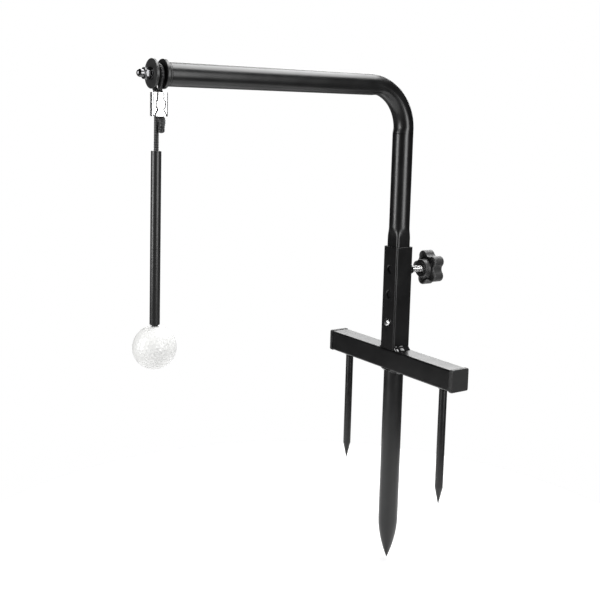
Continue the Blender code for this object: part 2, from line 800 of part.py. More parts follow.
def make_clip_half(name, side):
    """One pressed half of the rope clip: a face with a cross-shaped boss and two turned-in edges."""
    middle_y = CORD_Y + STRAND_GAP / 2
    middle_z = (CLIP_TOP + CLIP_BOTTOM) / 2
    half_width = CLIP_WIDTH / 2 - CLIP_SHEET / 2
    half_height = (CLIP_TOP - CLIP_BOTTOM) / 2
    face = CORD_RADIUS + CLEARANCE + CLIP_SHEET / 2
    columns = 13
    rows = 15
    bm = bmesh.new()
    grid = []
    for row in range(rows):
        z = -half_height + 2 * half_height * row / (rows - 1)
        line = [(-half_width, CLEARANCE / 2)]
        for column in range(columns):
            y = half_width * (2 * column / (columns - 1) - 1)
            line.append((y, face + clip_height(y, z)))
        line.append((half_width, CLEARANCE / 2))
        grid.append([bm.verts.new((side * x, middle_y + y, middle_z + z)) for y, x in line])
    for low, high in zip(grid, grid[1:]):
        for index in range(len(low) - 1):
            corners = (low[index], low[index + 1], high[index + 1], high[index])
            bm.faces.new(corners if side > 0 else tuple(reversed(corners)))
    mesh = bpy.data.meshes.new(name)
    bm.to_mesh(mesh)
    bm.free()
    half = piece(name, mesh, ZINC)
    solid = half.modifiers.new("sheet", "SOLIDIFY")
    solid.thickness = CLIP_SHEET
    solid.offset = 0.0


def make_sleeve():
    profile = [
        (SLEEVE_RADIUS, SLEEVE_TOP),
        (SLEEVE_RADIUS, SLEEVE_BOTTOM),
        (SLEEVE_BORE, SLEEVE_BOTTOM),
        (SLEEVE_BORE, SLEEVE_TOP),
    ]
    sleeve = turned("cord_sleeve", profile, BLACK_SLEEVE, steps=20, closed=True)
    sleeve.location.y = CORD_Y


def make_ball():
    """A ball with a blind bore from the top, where the cord ends in a ferrule."""
    mesh = bpy.data.meshes.new("golf_ball")
    bm = bmesh.new()
    bmesh.ops.create_uvsphere(bm, u_segments=32, v_segments=18, radius=BALL_RADIUS)
    bm.to_mesh(mesh)
    bm.free()
    ball = piece("golf_ball", mesh, WHITE_BALL)
    ball.location = (0.0, CORD_Y, BALL_CENTRE)
    low = FERRULE[0] - CLEARANCE
    high = BALL_CENTRE + 2 * BALL_RADIUS
    drill = helper("ball_bore", cylinder_mesh("drill", BALL_BORE, high - low))
    drill.location = (0.0, CORD_Y, (low + high) / 2)
    boolean(ball, drill)
    bottom, top = FERRULE
    profile = [
        (BALL_BORE - CLEARANCE, top),
        (BALL_BORE - CLEARANCE, bottom),
        (CORD_RADIUS + CLEARANCE, bottom),
        (CORD_RADIUS + CLEARANCE, top),
    ]
    ferrule = turned("cord_ferrule", profile, BRASS, steps=20, closed=True)
    ferrule.location.y = CORD_Y


# Clamp


def star_outline(inset=0.0, arc_steps=6):
    """Round lobes joined by hollow arcs that touch them smoothly."""
    lobe = LOBE_RADIUS - inset
    valley = VALLEY_RADIUS - inset
    spread = math.pi / LOBES
    swing = LOBE_CENTRE * math.cos(spread)
    hollow = (valley**2 + LOBE_CENTRE**2 - 2 * valley * swing - lobe**2) / (2 * (lobe - valley + swing))
    hollow_centre = Vector((math.cos(spread), math.sin(spread))) * (valley + hollow)
    lean = hollow_centre - Vector((LOBE_CENTRE, 0.0))
    edge = math.atan2(lean.y, lean.x)
    points = []
    for number in range(LOBES):
        turn = Matrix.Rotation(math.pi + 2 * spread * number, 2)
        for step in range(arc_steps + 1):
            angle = -edge + 2 * edge * step / arc_steps
            point = Vector((LOBE_CENTRE, 0.0)) + lobe * Vector((math.cos(angle), math.sin(angle)))
            points.append(turn @ point)
        start = edge + math.pi
        end = 2 * spread + math.pi - edge
        for step in range(1, arc_steps):
            angle = start + (end - start) * step / arc_steps
            points.append(turn @ (hollow_centre + hollow * Vector((math.cos(angle), math.sin(angle)))))
    return points


def make_knob():
    """A five-lobed knob whose round boss faces the post, bored for the stud."""
    thickness = KNOB_FAR - KNOB_NEAR
    layers = [
        (star_outline(KNOB_EDGE), 0.0),
        (star_outline(), KNOB_EDGE),
        (star_outline(), thickness - KNOB_EDGE),
        (star_outline(KNOB_EDGE), thickness),
    ]
    knob = piece("star_knob", layered_mesh("star_knob", layers), BLACK_PLASTIC)
    place_along_y(knob, KNOB_NEAR, CLAMP_HEIGHT)
    boss_end = KNOB_NEAR + KNOB_EDGE
    boss = helper("knob_boss", cylinder_mesh("boss", KNOB_BOSS_RADIUS, boss_end - KNOB_BOSS, 32))
    place_along_y(boss, (KNOB_BOSS + boss_end) / 2, CLAMP_HEIGHT)
    boolean(knob, boss, "UNION")
    bore_start = KNOB_BOSS - KNOB_EDGE
    bore_end = STUD_END + CLEARANCE
    bore = helper("knob_bore", cylinder_mesh("bore", STUD_BORE, bore_end - bore_start))
    place_along_y(bore, (bore_start + bore_end) / 2, CLAMP_HEIGHT)
    boolean(knob, bore)


def make_clamp_stud():
    """The threaded stud, from the arm's back face through the nut and into the knob."""
    start = ARM_SQUARE / 2 + CLEARANCE
    length = STUD_END - start
    profile = [
        (0.0, length),
        (STUD_RADIUS, length),
        (STUD_RADIUS, STUD_BEVEL),
        (STUD_RADIUS - STUD_BEVEL, 0.0),
        (0.0, 0.0),
    ]
    stud = turned("clamp_stud", profile, ZINC, steps=20)
    place_along_y(stud, start, CLAMP_HEIGHT)


clear_scene()
parts = new_collection(COLLECTION)
cutters = new_collection("cutters")
make_crossbar()
make_post()
make_weld_nut()
make_centre_spike()
for side_name, side_sign in (("left", -1), ("right", 1)):
    make_side_spike("side_spike_" + side_name, side_sign * SIDE_SPIKE_X)
    make_spike_weld("spike_weld_" + side_name, side_sign * SIDE_SPIKE_X)
    make_centre_weld("centre_weld_" + side_name, side_sign)
    make_post_weld("post_weld_" + side_name, side_sign)
make_arm()
make_snap_button()
make_snap_spring()
make_arm_plug()
make_axle()
make_spool()
make_hex_nut()
make_cap_nut()
make_cord()
make_clip_half("clip_near", 1)
make_clip_half("clip_far", -1)
make_sleeve()
make_ball()
make_knob()
make_clamp_stud()
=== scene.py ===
"""A ground-stake swing trainer: the looks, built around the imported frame.

The stake, the bent arm, the spool, the cord with its clip and sleeve, the dimpled ball and the clamp knob
each get a fine mesh and a node material. Everything is in metres, +Z up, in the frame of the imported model.
"""

import math

import bmesh
import bpy
import numpy as np
from mathutils import Matrix, Vector, noise


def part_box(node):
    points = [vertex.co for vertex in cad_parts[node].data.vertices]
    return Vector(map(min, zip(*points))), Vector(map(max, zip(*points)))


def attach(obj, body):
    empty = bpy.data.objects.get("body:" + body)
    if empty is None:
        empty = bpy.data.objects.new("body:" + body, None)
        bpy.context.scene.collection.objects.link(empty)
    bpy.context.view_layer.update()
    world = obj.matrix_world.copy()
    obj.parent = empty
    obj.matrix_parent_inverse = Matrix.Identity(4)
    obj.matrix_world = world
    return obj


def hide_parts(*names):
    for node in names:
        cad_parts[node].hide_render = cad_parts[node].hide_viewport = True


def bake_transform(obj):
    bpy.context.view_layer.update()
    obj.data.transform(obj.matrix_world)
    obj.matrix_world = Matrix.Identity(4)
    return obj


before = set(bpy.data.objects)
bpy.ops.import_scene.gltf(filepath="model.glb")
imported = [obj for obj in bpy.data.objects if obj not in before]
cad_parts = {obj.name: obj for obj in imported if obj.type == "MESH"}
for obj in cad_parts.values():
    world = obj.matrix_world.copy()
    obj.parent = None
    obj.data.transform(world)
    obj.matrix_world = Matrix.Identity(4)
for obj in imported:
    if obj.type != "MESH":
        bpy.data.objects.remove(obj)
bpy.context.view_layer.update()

# Places that are read from the frame

CROSSBAR_LOW, CROSSBAR_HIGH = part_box("crossbar")
POST_LOW, POST_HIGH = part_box("post")
ARM_LOW, ARM_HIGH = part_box("arm_tube")
SPIKE_LOW, SPIKE_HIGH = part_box("centre_spike")
SIDE_SPIKE_LOW, SIDE_SPIKE_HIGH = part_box("side_spike_right")
BUTTON_LOW, BUTTON_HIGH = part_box("snap_button")
SPRING_LOW, SPRING_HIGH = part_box("snap_spring")
REAR_FLANGE_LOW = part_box("rear_flange")[0]
DRUM_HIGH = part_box("spool_drum")[1]
FRONT_FLANGE_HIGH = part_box("front_flange")[1]
HEX_NUT_LOW, HEX_NUT_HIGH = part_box("hex_nut")
CAP_NUT_LOW, CAP_NUT_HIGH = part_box("cap_nut")
CLIP_LOW, CLIP_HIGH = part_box("clip_near")
SLEEVE_LOW, SLEEVE_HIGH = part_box("cord_sleeve")
BALL_LOW, BALL_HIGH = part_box("golf_ball")
FERRULE_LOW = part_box("cord_ferrule")[0]
KNOB_LOW, KNOB_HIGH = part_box("star_knob")
STUD_LOW, STUD_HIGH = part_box("clamp_stud")
WELD_NUT_LOW, WELD_NUT_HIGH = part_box("weld_nut")
CAP_LOW, CAP_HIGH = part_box("end_cap_right")

# Sizes that the frame's boxes don't give

CLEARANCE = 0.0003
SQUARE_TUBE = CROSSBAR_HIGH.z - CROSSBAR_LOW.z
SQUARE_WALL = 0.0018
SQUARE_CORNER = 0.0020
HOLE_HEIGHTS = (0.0545, 0.0870, 0.1160)
HOLE_RADIUS = 0.0043
CLAMP_HEIGHT = (STUD_LOW.z + STUD_HIGH.z) / 2
HOLE_EASE = 0.0008
SPIKE_SHOULDER = -0.1800
SPIKE_WALL = 0.0015
SPIKE_NOSE_BLUNTNESS = 1.85
SPIKE_NOSE_BORE = 0.3
SIDE_SPIKE_SHOULDER = -0.1140
SIDE_SPIKE_RADIUS = (SIDE_SPIKE_HIGH.x - SIDE_SPIKE_LOW.x) / 2
SIDE_SPIKE_X = (SIDE_SPIKE_HIGH.x + SIDE_SPIKE_LOW.x) / 2
WELD_RIPPLE = 0.0016
POST_WELD_LEG = 0.0055
SIDE_WELD_LEG = 0.0034
CENTRE_WELD_LEG = 0.0052
CENTRE_WELD_SPREAD = math.radians(88)
ARM_RADIUS = 0.0116
ARM_WALL = 0.0014
ARM_SQUARE = 0.0193
ARM_SQUARE_CORNER = 0.0025
ARM_AXIS_HEIGHT = ARM_HIGH.z - ARM_RADIUS
BEND_RADIUS = 0.0480
BEND_FLATTENING = 0.13
BEND_SPREAD = 0.02
SQUARE_END = 0.1515
ROUND_START = 0.1640
BUTTON_HOLE_RADIUS = 0.0041
BUTTON_HOLE_EASE = 0.0003
BUTTON_CROWN = 0.0024
BUTTON_CROWN_REACH = 0.80
SPRING_STRIP = 0.0006
SPRING_KNEE = 0.0505
SPRING_BEND = 0.0022
AXLE_BORE = 0.0032
CAP_EDGE = 0.0011
CAP_CROWN = 0.0015
PLUG_DEPTH = 0.0118
PLUG_LEAD = 0.0008
PLUG_TAPER = 0.0003
FLANGE_EDGE = 0.0005
FLANGE_RECESS = 0.0003
CAP_NUT_DOME = 0.0039
HEX_CHAMFER_REACH = 0.90
HEX_CHAMFER_SLOPE = 1.9
HEX_BORE_EASE = 0.0003
CORD_RADIUS = 0.0024
CORD_Y = (SLEEVE_LOW.y + SLEEVE_HIGH.y) / 2
STRAND_GAP = 0.0049
TAIL_END = 0.2665
SLEEVE_BORE = 0.0028
BALL_BORE = 0.0037
FERRULE_ROOM = 0.0010
CLIP_SHEET = 0.0008
CLIP_BEND = 0.0011
CLIP_EDGE = 0.00018
CLIP_BOSS_HEIGHT = 0.0017
CLIP_NECK_HEIGHT = 0.0011
CLIP_NECK_REACH = 0.0030
CLIP_BELL_HEIGHT = 0.0004
CLIP_BELL_REACH = 0.0026
STUD_BORE = 0.0043
STUD_BORE_EASE = 0.0002
THREAD_PITCH = 0.00125
THREAD_DEPTH = 0.00066
STUD_LEAD = 0.0008
THREAD_FLANKS = (0.12, 0.88)
KNOB_NEAR = 0.0405
KNOB_EDGE = 0.0018
KNOB_COLLAR_EDGE = 0.0010
KNOB_BACK_RISE = 0.0006
KNOB_BOSS_RADIUS = 0.0104
KNOB_BORE_DEPTH = 0.0140
KNOB_COUNTERBORE = 0.0012
LOBES = 5
LOBE_CENTRE = 0.0142
LOBE_RADIUS = 0.0065
VALLEY_RADIUS = 0.0147


# Camera

CAMERA_PLACE = (0.82559, -0.70359, 0.28904)
CAMERA_YAW = 55.407
CAMERA_PITCH = 6.845
CAMERA_ROLL = 1.557
CAMERA_LENS = 57.534
CAMERA_SHIFT = (-0.00284, -0.12)


def new_object(name, data):
    """An object with this data, linked to the scene."""
    obj = bpy.data.objects.new(name, data)
    bpy.context.scene.collection.objects.link(obj)
    return obj


def make_camera():
    yaw, pitch, roll = (math.radians(angle) for angle in (CAMERA_YAW, CAMERA_PITCH, CAMERA_ROLL))
    forward = Vector((-math.sin(yaw) * math.cos(pitch), math.cos(yaw) * math.cos(pitch), -math.sin(pitch)))
    level = Vector((math.cos(yaw), math.sin(yaw), 0.0))
    up = level.cross(forward)
    across = level * math.cos(roll) + up * math.sin(roll)
    upward = up * math.cos(roll) - level * math.sin(roll)
    data = bpy.data.cameras.new("camera")
    data.lens = CAMERA_LENS
    data.sensor_width = 36.0
    data.shift_x, data.shift_y = CAMERA_SHIFT
    camera = new_object("camera", data)
    turn = Matrix((across, upward, -forward)).transposed()
    camera.matrix_world = Matrix.Translation(CAMERA_PLACE) @ turn.to_4x4()
    bpy.context.scene.camera = camera


make_camera()


# Node materials


class Nodes:
    """A material under construction: each call adds one node and returns the output that is used."""

    def __init__(self, name):
        self.material = bpy.data.materials.new(name)
        self.material.use_nodes = True
        self.tree = self.material.node_tree
        self.shader = self.tree.nodes["Principled BSDF"]
        coordinates = self.tree.nodes.new("ShaderNodeTexCoord")
        self.place = coordinates.outputs["Object"]

    def put(self, node, socket, value):
        if isinstance(value, bpy.types.NodeSocket):
            self.tree.links.new(value, node.inputs[socket])
        elif isinstance(value, tuple) and len(value) == 3 and node.inputs[socket].type == "RGBA":
            node.inputs[socket].default_value = (*value, 1.0)
        else:
            node.inputs[socket].default_value = value

    def add(self, kind, output, **inputs):
        node = self.tree.nodes.new(kind)
        for socket, value in inputs.items():
            self.put(node, socket.replace("_", " "), value)
        return node.outputs[output]

    def stretched(self, scale):
        """The object's coordinates, scaled by a different amount along each axis."""
        return self.add("ShaderNodeMapping", "Vector", Vector=self.place, Scale=scale)

    def noise(self, scale, detail=3.0, roughness=0.55, place=None):
        place = place or self.place
        return self.add(
            "ShaderNodeTexNoise", "Fac", Vector=place, Scale=scale, Detail=detail, Roughness=roughness
        )

    def between(self, value, from_low, from_high, to_low, to_high):
        node = self.tree.nodes.new("ShaderNodeMapRange")
        for socket, number in zip(node.inputs[1:5], (from_low, from_high, to_low, to_high)):
            socket.default_value = number
        self.put(node, 0, value)
        return node.outputs[0]

    def mixed(self, share, first, second):
        node = self.tree.nodes.new("ShaderNodeMix")
        node.data_type = "RGBA"
        self.put(node, 0, share)
        self.put(node, 6, first)
        self.put(node, 7, second)
        return node.outputs[2]

    def bump(self, height, distance, strength=1.0, under=None):
        node = self.tree.nodes.new("ShaderNodeBump")
        node.inputs["Distance"].default_value = distance
        node.inputs["Strength"].default_value = strength
        self.put(node, "Height", height)
        if under is not None:
            self.put(node, "Normal", under)
        return node.outputs[0]

    def finish(self, **inputs):
        for socket, value in inputs.items():
            self.put(self.shader, socket.replace("_", " "), value)
        return self.material


def powder_coat():
    """Satin black coat: a fine orange peel, with slightly duller patches."""
    n = Nodes("powder_coat")
    patches = n.noise(55.0, detail=4.0)
    share = n.between(patches, 0.35, 0.65, 0.0, 1.0)
    colour = n.mixed(share, (0.0025, 0.0025, 0.0027), (0.0042, 0.0042, 0.0045))
    roughness = n.between(patches, 0.3, 0.7, 0.28, 0.34)
    peel = n.bump(n.noise(900.0, detail=2.0), 0.00002, 0.35)
    wave = n.bump(n.noise(160.0, detail=1.0), 0.00005, 0.30, under=peel)
    return n.finish(Base_Color=colour, Roughness=roughness, Normal=wave, Specular_IOR_Level=0.5)


def weld_coat():
    """The same coat where it has run glossy over a weld bead."""
    n = Nodes("weld_coat")
    peel = n.bump(n.noise(700.0, detail=3.0), 0.00005, 0.5)
    return n.finish(Base_Color=(0.008, 0.008, 0.0085), Roughness=0.08, Normal=peel, Coat_Weight=0.5)


def moulded_plastic(name, roughness, grain=2600.0, specular=0.5, tone=0.0130):
    """Black moulding with the fine texture of a sparked mould."""
    n = Nodes(name)
    pale = tone * 1.38
    tint = n.mixed(n.noise(140.0), (tone, tone, tone * 1.02), (pale, pale, pale))
    texture = n.bump(n.noise(grain, detail=1.0), 0.00002, 0.5)
    dull = n.between(n.noise(240.0), 0.3, 0.7, roughness - 0.05, roughness + 0.06)
    return n.finish(Base_Color=tint, Roughness=dull, Normal=texture, Specular_IOR_Level=specular)


def sleeve_plastic():
    """Extruded tube: faint lines along its length and small soft dents."""
    n = Nodes("sleeve_plastic")
    lines = n.noise(1.0, detail=2.0, place=n.stretched((1900.0, 1900.0, 9.0)))
    drawn = n.bump(lines, 0.00002, 0.30)
    dents = n.bump(n.noise(85.0, detail=1.0), 0.00008, 0.25, under=drawn)
    tint = n.mixed(lines, (0.0085, 0.0085, 0.0085), (0.0115, 0.0115, 0.0115))
    return n.finish(Base_Color=tint, Roughness=0.36, Normal=dents)


def braided_cord():
    """Polyester yarn: fine filaments with a soft sheen."""
    n = Nodes("braided_cord")
    filaments = n.noise(3800.0, detail=2.0)
    fibre = n.bump(filaments, 0.00004, 0.6)
    tint = n.mixed(filaments, (0.0040, 0.0040, 0.0045), (0.0130, 0.0130, 0.0135))
    return n.finish(
        Base_Color=tint, Roughness=0.34, Normal=fibre, Sheen_Weight=0.15, Sheen_Roughness=0.40
    )


def zinc_plate(name, dark, light):
    """Zinc plate: fine machining lines, cloudy passivation."""
    n = Nodes(name)
    cloud = n.noise(420.0, detail=3.0)
    lines = n.noise(1.0, detail=1.0, place=n.stretched((260.0, 9000.0, 260.0)))
    tint = n.mixed(cloud, dark, light)
    dull = n.between(cloud, 0.3, 0.7, 0.12, 0.22)
    return n.finish(Base_Color=tint, Metallic=1.0, Roughness=dull, Normal=n.bump(lines, 0.00001, 0.35))


def pressed_zinc():
    """Pressed sheet under bright zinc: broad soft reflections and a few rub marks."""
    n = Nodes("pressed_zinc")
    cloud = n.noise(300.0, detail=3.0)
    rubs = n.noise(1.0, detail=3.0, place=n.stretched((500.0, 500.0, 3500.0)))
    tint = n.mixed(cloud, (0.64, 0.65, 0.66), (0.74, 0.74, 0.73))
    dull = n.between(rubs, 0.35, 0.7, 0.16, 0.26)
    return n.finish(Base_Color=tint, Metallic=1.0, Roughness=dull, Normal=n.bump(cloud, 0.00003, 0.3))


def spring_steel():
    n = Nodes("spring_steel")
    rolled = n.noise(1.0, place=n.stretched((4000.0, 300.0, 300.0)))
    tint = n.mixed(rolled, (0.50, 0.51, 0.54), (0.64, 0.64, 0.66))
    return n.finish(Base_Color=tint, Metallic=1.0, Roughness=0.28, Normal=n.bump(rolled, 0.00001, 0.4))


def crimped_brass():
    n = Nodes("crimped_brass")
    cloud = n.noise(600.0)
    tint = n.mixed(cloud, (0.62, 0.45, 0.20), (0.76, 0.60, 0.32))
    return n.finish(Base_Color=tint, Metallic=1.0, Roughness=n.between(cloud, 0.3, 0.7, 0.25, 0.4))


def ball_cover():
    """White cover under a clear coat, a touch warmer in faint patches."""
    n = Nodes("ball_cover")
    patches = n.noise(90.0, detail=2.0)
    tint = n.mixed(patches, (0.73, 0.73, 0.72), (0.70, 0.70, 0.69))
    grain = n.bump(n.noise(1800.0, detail=1.0), 0.00001, 0.2)
    return n.finish(
        Base_Color=tint,
        Roughness=n.between(patches, 0.3, 0.7, 0.30, 0.38),
        Normal=grain,
        Coat_Weight=0.25,
        Coat_Roughness=0.12,
    )


# Each look is a material and the slot that it fills.
COAT = (powder_coat(), "black_powder_coat")
WELD = (weld_coat(), "black_powder_coat")
PLASTIC = (moulded_plastic("moulded_plastic", 0.42), "black_plastic")
SPOOL_PLASTIC = (moulded_plastic("spool_plastic", 0.36, grain=1500.0), "black_plastic")
SLEEVE = (sleeve_plastic(), "sleeve_plastic")
CORD = (braided_cord(), "black_cord")
ZINC = (zinc_plate("zinc_plate", (0.62, 0.63, 0.65), (0.78, 0.77, 0.75)), "zinc_plate")
# A darker copy of the zinc plate for the hex nut, cap nut and front washer: its dark base colour is painted
# shade, standing in for the dark reflections these nuts show.
SHADED_NUT_ZINC = (zinc_plate("shaded_nut_zinc", (0.09, 0.09, 0.095), (0.15, 0.15, 0.15)), "zinc_plate")
KNOB_PLASTIC = (moulded_plastic("knob_plastic", 0.48, specular=0.95, tone=0.0060), "black_plastic")
CLIP = (pressed_zinc(), "clip_steel")
SPRING = (spring_steel(), "spring_steel")
BRASS = (crimped_brass(), "ferrule_brass")
BALL = (ball_cover(), "ball_cover")


# Mesh tools


def shares(steps):
    """From 0 to 1 in even steps."""
    return [step / steps for step in range(steps + 1)]


def turn_outward(mesh, merge=0.0):
    """Turns the faces outward, once points nearer to each other than the merge distance are one."""
    bm = bmesh.new()
    bm.from_mesh(mesh)
    if merge:
        bmesh.ops.remove_doubles(bm, verts=bm.verts, dist=merge)
    bmesh.ops.recalc_face_normals(bm, faces=bm.faces)
    bm.to_mesh(mesh)
    bm.free()


def to_mesh(name, points, faces):
    mesh = bpy.data.meshes.new(name)
    mesh.from_pydata([tuple(point) for point in points], [], faces)
    return mesh


def skin(name, rings, around=False):
    """A closed mesh through rings of equal counts. Around joins the last ring to the first."""
    count = len(rings[0])
    points = [point for ring in rings for point in ring]
    last = len(points) - count
    faces = []
    for low in range(0, last, count):
        join(faces, low, low + count, count)
    if around:
        join(faces, last, 0, count)
    else:
        faces.append(tuple(range(count)))
        faces.append(tuple(range(last, len(points))))
    mesh = to_mesh(name, points, faces)
    turn_outward(mesh)
    return mesh


def join(faces, low, high, count):
    for index in range(count):
        after = (index + 1) % count
        faces.append((low + index, low + after, high + after, high + index))


def softened(corners, steps=4, closed=False):
    """An outline whose corners, given as (x, y, radius), are cut round."""
    outline = []
    last = len(corners) - 1
    for index, (x, y, radius) in enumerate(corners):
        corner = Vector((x, y))
        ends = not closed and index in (0, last)
        if radius == 0.0 or ends:
            outline.append(corner)
            continue
        before = Vector(corners[index - 1][:2]) - corner
        after = Vector(corners[(index + 1) % len(corners)][:2]) - corner
        half = before.angle(after) / 2
        reach = radius / math.tan(half)
        start = corner + before.normalized() * reach
        end = corner + after.normalized() * reach
        middle = corner + (before.normalized() + after.normalized()).normalized() * radius / math.sin(half)
        sweep = (start - middle).angle_signed(end - middle)
        for share in shares(steps):
            outline.append(middle + Matrix.Rotation(-sweep * share, 2) @ (start - middle))
    return outline


def polar(turn, radius, height):
    return Vector((radius * math.cos(turn), radius * math.sin(turn), height))


def directions(count):
    """Even directions round a circle."""
    return [2 * math.pi * index / count for index in range(count)]


def turned_rings(profile, segments):
    return [[polar(angle, max(p.x, 1e-6), p.y) for angle in directions(segments)] for p in profile]


def turned(name, corners, segments=96, bored=True, steps=4):
    """A shape turned about Z from (radius, height, rounding) corners."""
    profile = softened(corners, steps, closed=bored)
    mesh = skin(name, turned_rings(profile, segments), around=bored)
    if not bored:
        turn_outward(mesh, merge=0.00001)
    return mesh


def along_arm(distance):
    """Turns a shape modelled on +Z to lie along -Y on the arm's axis, from that distance."""
    return Matrix.Translation((0.0, -distance, ARM_AXIS_HEIGHT)) @ Matrix.Rotation(math.pi / 2, 4, "X")


def behind_post(distance):
    """Turns a shape modelled on +Z to lie along +Y on the clamp's axis, from that distance."""
    return Matrix.Translation((0.0, distance, CLAMP_HEIGHT)) @ Matrix.Rotation(-math.pi / 2, 4, "X")


def show(mesh, node, body, look, place=None, sharp=40.0, flat_sides=False):
    """Puts a finished mesh in the place of a CAD node, on its body. The piece takes the mesh's name."""
    material, slot = look
    if place is not None:
        mesh.transform(place)
    obj = new_object(mesh.name, mesh)
    mesh.materials.append(material)
    mesh.shade_smooth()
    mesh.set_sharp_from_angle(angle=math.radians(sharp))
    if flat_sides:
        weighted = obj.modifiers.new("flat sides", "WEIGHTED_NORMAL")
        weighted.keep_sharp = True
        weighted.weight = 100
    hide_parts(node)
    if body:
        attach(obj, body)
    return obj


def drilled(mesh, cutters):
    """The mesh with these cutter meshes taken out of it."""
    base = new_object("base", mesh)
    helpers = [new_object("cutter", cutter) for cutter in cutters]
    for helper in helpers:
        cut = base.modifiers.new("cut", "BOOLEAN")
        cut.object = helper
        cut.operation = "DIFFERENCE"
    graph = bpy.context.evaluated_depsgraph_get()
    result = bpy.data.meshes.new_from_object(base.evaluated_get(graph))
    for obj in (*helpers, base):
        bpy.data.objects.remove(obj)
    name = mesh.name
    bpy.data.meshes.remove(mesh)
    result.name = name
    return result


def rounded_square(side, corner, steps=8):
    """The outline of a square with round corners."""
    reach = side / 2 - corner
    outline = []
    for quarter in range(4):
        middle = quarter * math.pi / 2 + math.pi / 4
        centre = Vector((math.copysign(reach, math.cos(middle)), math.copysign(reach, math.sin(middle))))
        for share in shares(steps):
            angle = quarter * math.pi / 2 + share * math.pi / 2
            outline.append(centre + corner * Vector((math.cos(angle), math.sin(angle))))
    return outline


def at_height(outline, height):
    return [Vector((p.x, p.y, height)) for p in outline]


def lump(point, scale, seed=0.0):
    """Smooth noise from -1 to 1 at a place."""
    return noise.noise(Vector(point) * scale + Vector((seed, seed * 0.7, seed * 1.3)))


def smoothstep(value, low, high):
    t = min(max((value - low) / (high - low), 0.0), 1.0)
    return t * t * (3 - 2 * t)


# Cord: one braid, in two pieces that meet in the clip's mouth

JUNCTION = CLIP_LOW.z + 0.0020
TAIL_LAP = math.radians(62)
TAIL_LAP_START = 0.2842
TAIL_LAP_HEIGHT = 0.0125
TAIL_LAP_ROOM = 0.0008
TAIL_SWELL = 0.0009
LOOP_START = math.radians(-42)
STRAND_PARTING = 0.0019
STRAND_PARTING_HEIGHT = 0.0030
STRAND_LEAN = 0.0010
BRAID_STRANDS = 6
BRAID_PITCH = 0.0023
BRAID_DEPTH = 0.00055
FINE_STEP = 0.00024
CORD_SIDES = 60


def tail_route():
    """The cut tail from its end up into the clip. It laps a quarter turn round the main strand."""
    points = []
    for share in shares(8):
        height = TAIL_END + (TAIL_LAP_START - TAIL_END) * share
        turn = TAIL_LAP * smoothstep(TAIL_LAP_START - height, 0.0, TAIL_LAP_HEIGHT)
        reach = STRAND_GAP + TAIL_LAP_ROOM * turn / TAIL_LAP
        points.append(Vector((reach * math.sin(turn), CORD_Y + reach * math.cos(turn), height)))
    return points


def cord_loop_route():
    """From the cut tail, up through the clip, round the drum and back down into the clip's mouth."""
    loop_radius = DRUM_HIGH.x + CORD_RADIUS + CLEARANCE
    side_room = CORD_RADIUS + CLEARANCE
    rear_y = REAR_FLANGE_LOW.y - side_room
    front_y = FRONT_FLANGE_HIGH.y + side_room
    tail_y = CORD_Y + STRAND_GAP
    clip_middle = (CLIP_LOW.z + CLIP_HIGH.z) / 2
    parting_height = CLIP_HIGH.z + STRAND_PARTING_HEIGHT
    points = tail_route()
    points += [
        Vector((0.0, tail_y, clip_middle)),
        Vector((0.0, tail_y - STRAND_LEAN, CLIP_HIGH.z)),
        Vector((STRAND_PARTING, rear_y, parting_height)),
    ]
    first = LOOP_START
    last = math.pi - first
    for along in shares(14):
        angle = first + (last - first) * along
        side = loop_radius * math.cos(angle)
        height = ARM_AXIS_HEIGHT + loop_radius * math.sin(angle)
        points.append(Vector((side, rear_y + (front_y - rear_y) * along, height)))
    points += [
        Vector((-STRAND_PARTING, front_y, parting_height)),
        Vector((0.0, CORD_Y - STRAND_LEAN, CLIP_HIGH.z)),
        Vector((0.0, CORD_Y, clip_middle)),
        Vector((0.0, CORD_Y, JUNCTION)),
    ]
    return points


def smooth_line(points, spacing):
    """Points about a spacing apart on the smooth curve through the given ones."""
    line = []
    last = len(points) - 1
    for index in range(last):
        before = points[max(index - 1, 0)]
        start = points[index]
        end = points[index + 1]
        after = points[min(index + 2, last)]
        steps = max(1, round((end - start).length / spacing))
        for step in range(steps):
            t = step / steps
            square = 2 * before - 5 * start + 4 * end - after
            cubic = 3 * start - before - 3 * end + after
            line.append(0.5 * (2 * start + (end - before) * t + square * t**2 + cubic * t**3))
    line.append(points[last])
    return line


def braid_height(turn, along):
    """How proud the yarn stands, from 0 to 1. Two families of strands pass over and under each other."""
    first = turn * BRAID_STRANDS / (2 * math.pi) + along / BRAID_PITCH
    second = turn * BRAID_STRANDS / (2 * math.pi) - along / BRAID_PITCH
    over = (math.floor(first) + math.floor(second)) % 2 == 0
    across = (first if over else second) % 1.0
    run = (second if over else first) % 1.0
    crown = math.sqrt(max(0.0, 1 - (2 * across - 1) ** 2))
    return crown * (0.45 + 0.55 * math.sin(math.pi * run))


def pressed_tail(ring, centre):
    """The swollen tail lies against the main strand without passing into it."""
    swell = smoothstep(CLIP_LOW.z + 0.0010 - centre.z, 0.0, 0.0050)
    room = CORD_RADIUS + 0.00005
    shaped = []
    for point in ring:
        point = centre + (point - centre) * (1 + swell * TAIL_SWELL / CORD_RADIUS)
        across = Vector((point.x, point.y - CORD_Y))
        if across.length < room:
            across *= room / across.length
        shaped.append(Vector((across.x, CORD_Y + across.y, point.z)))
    return shaped


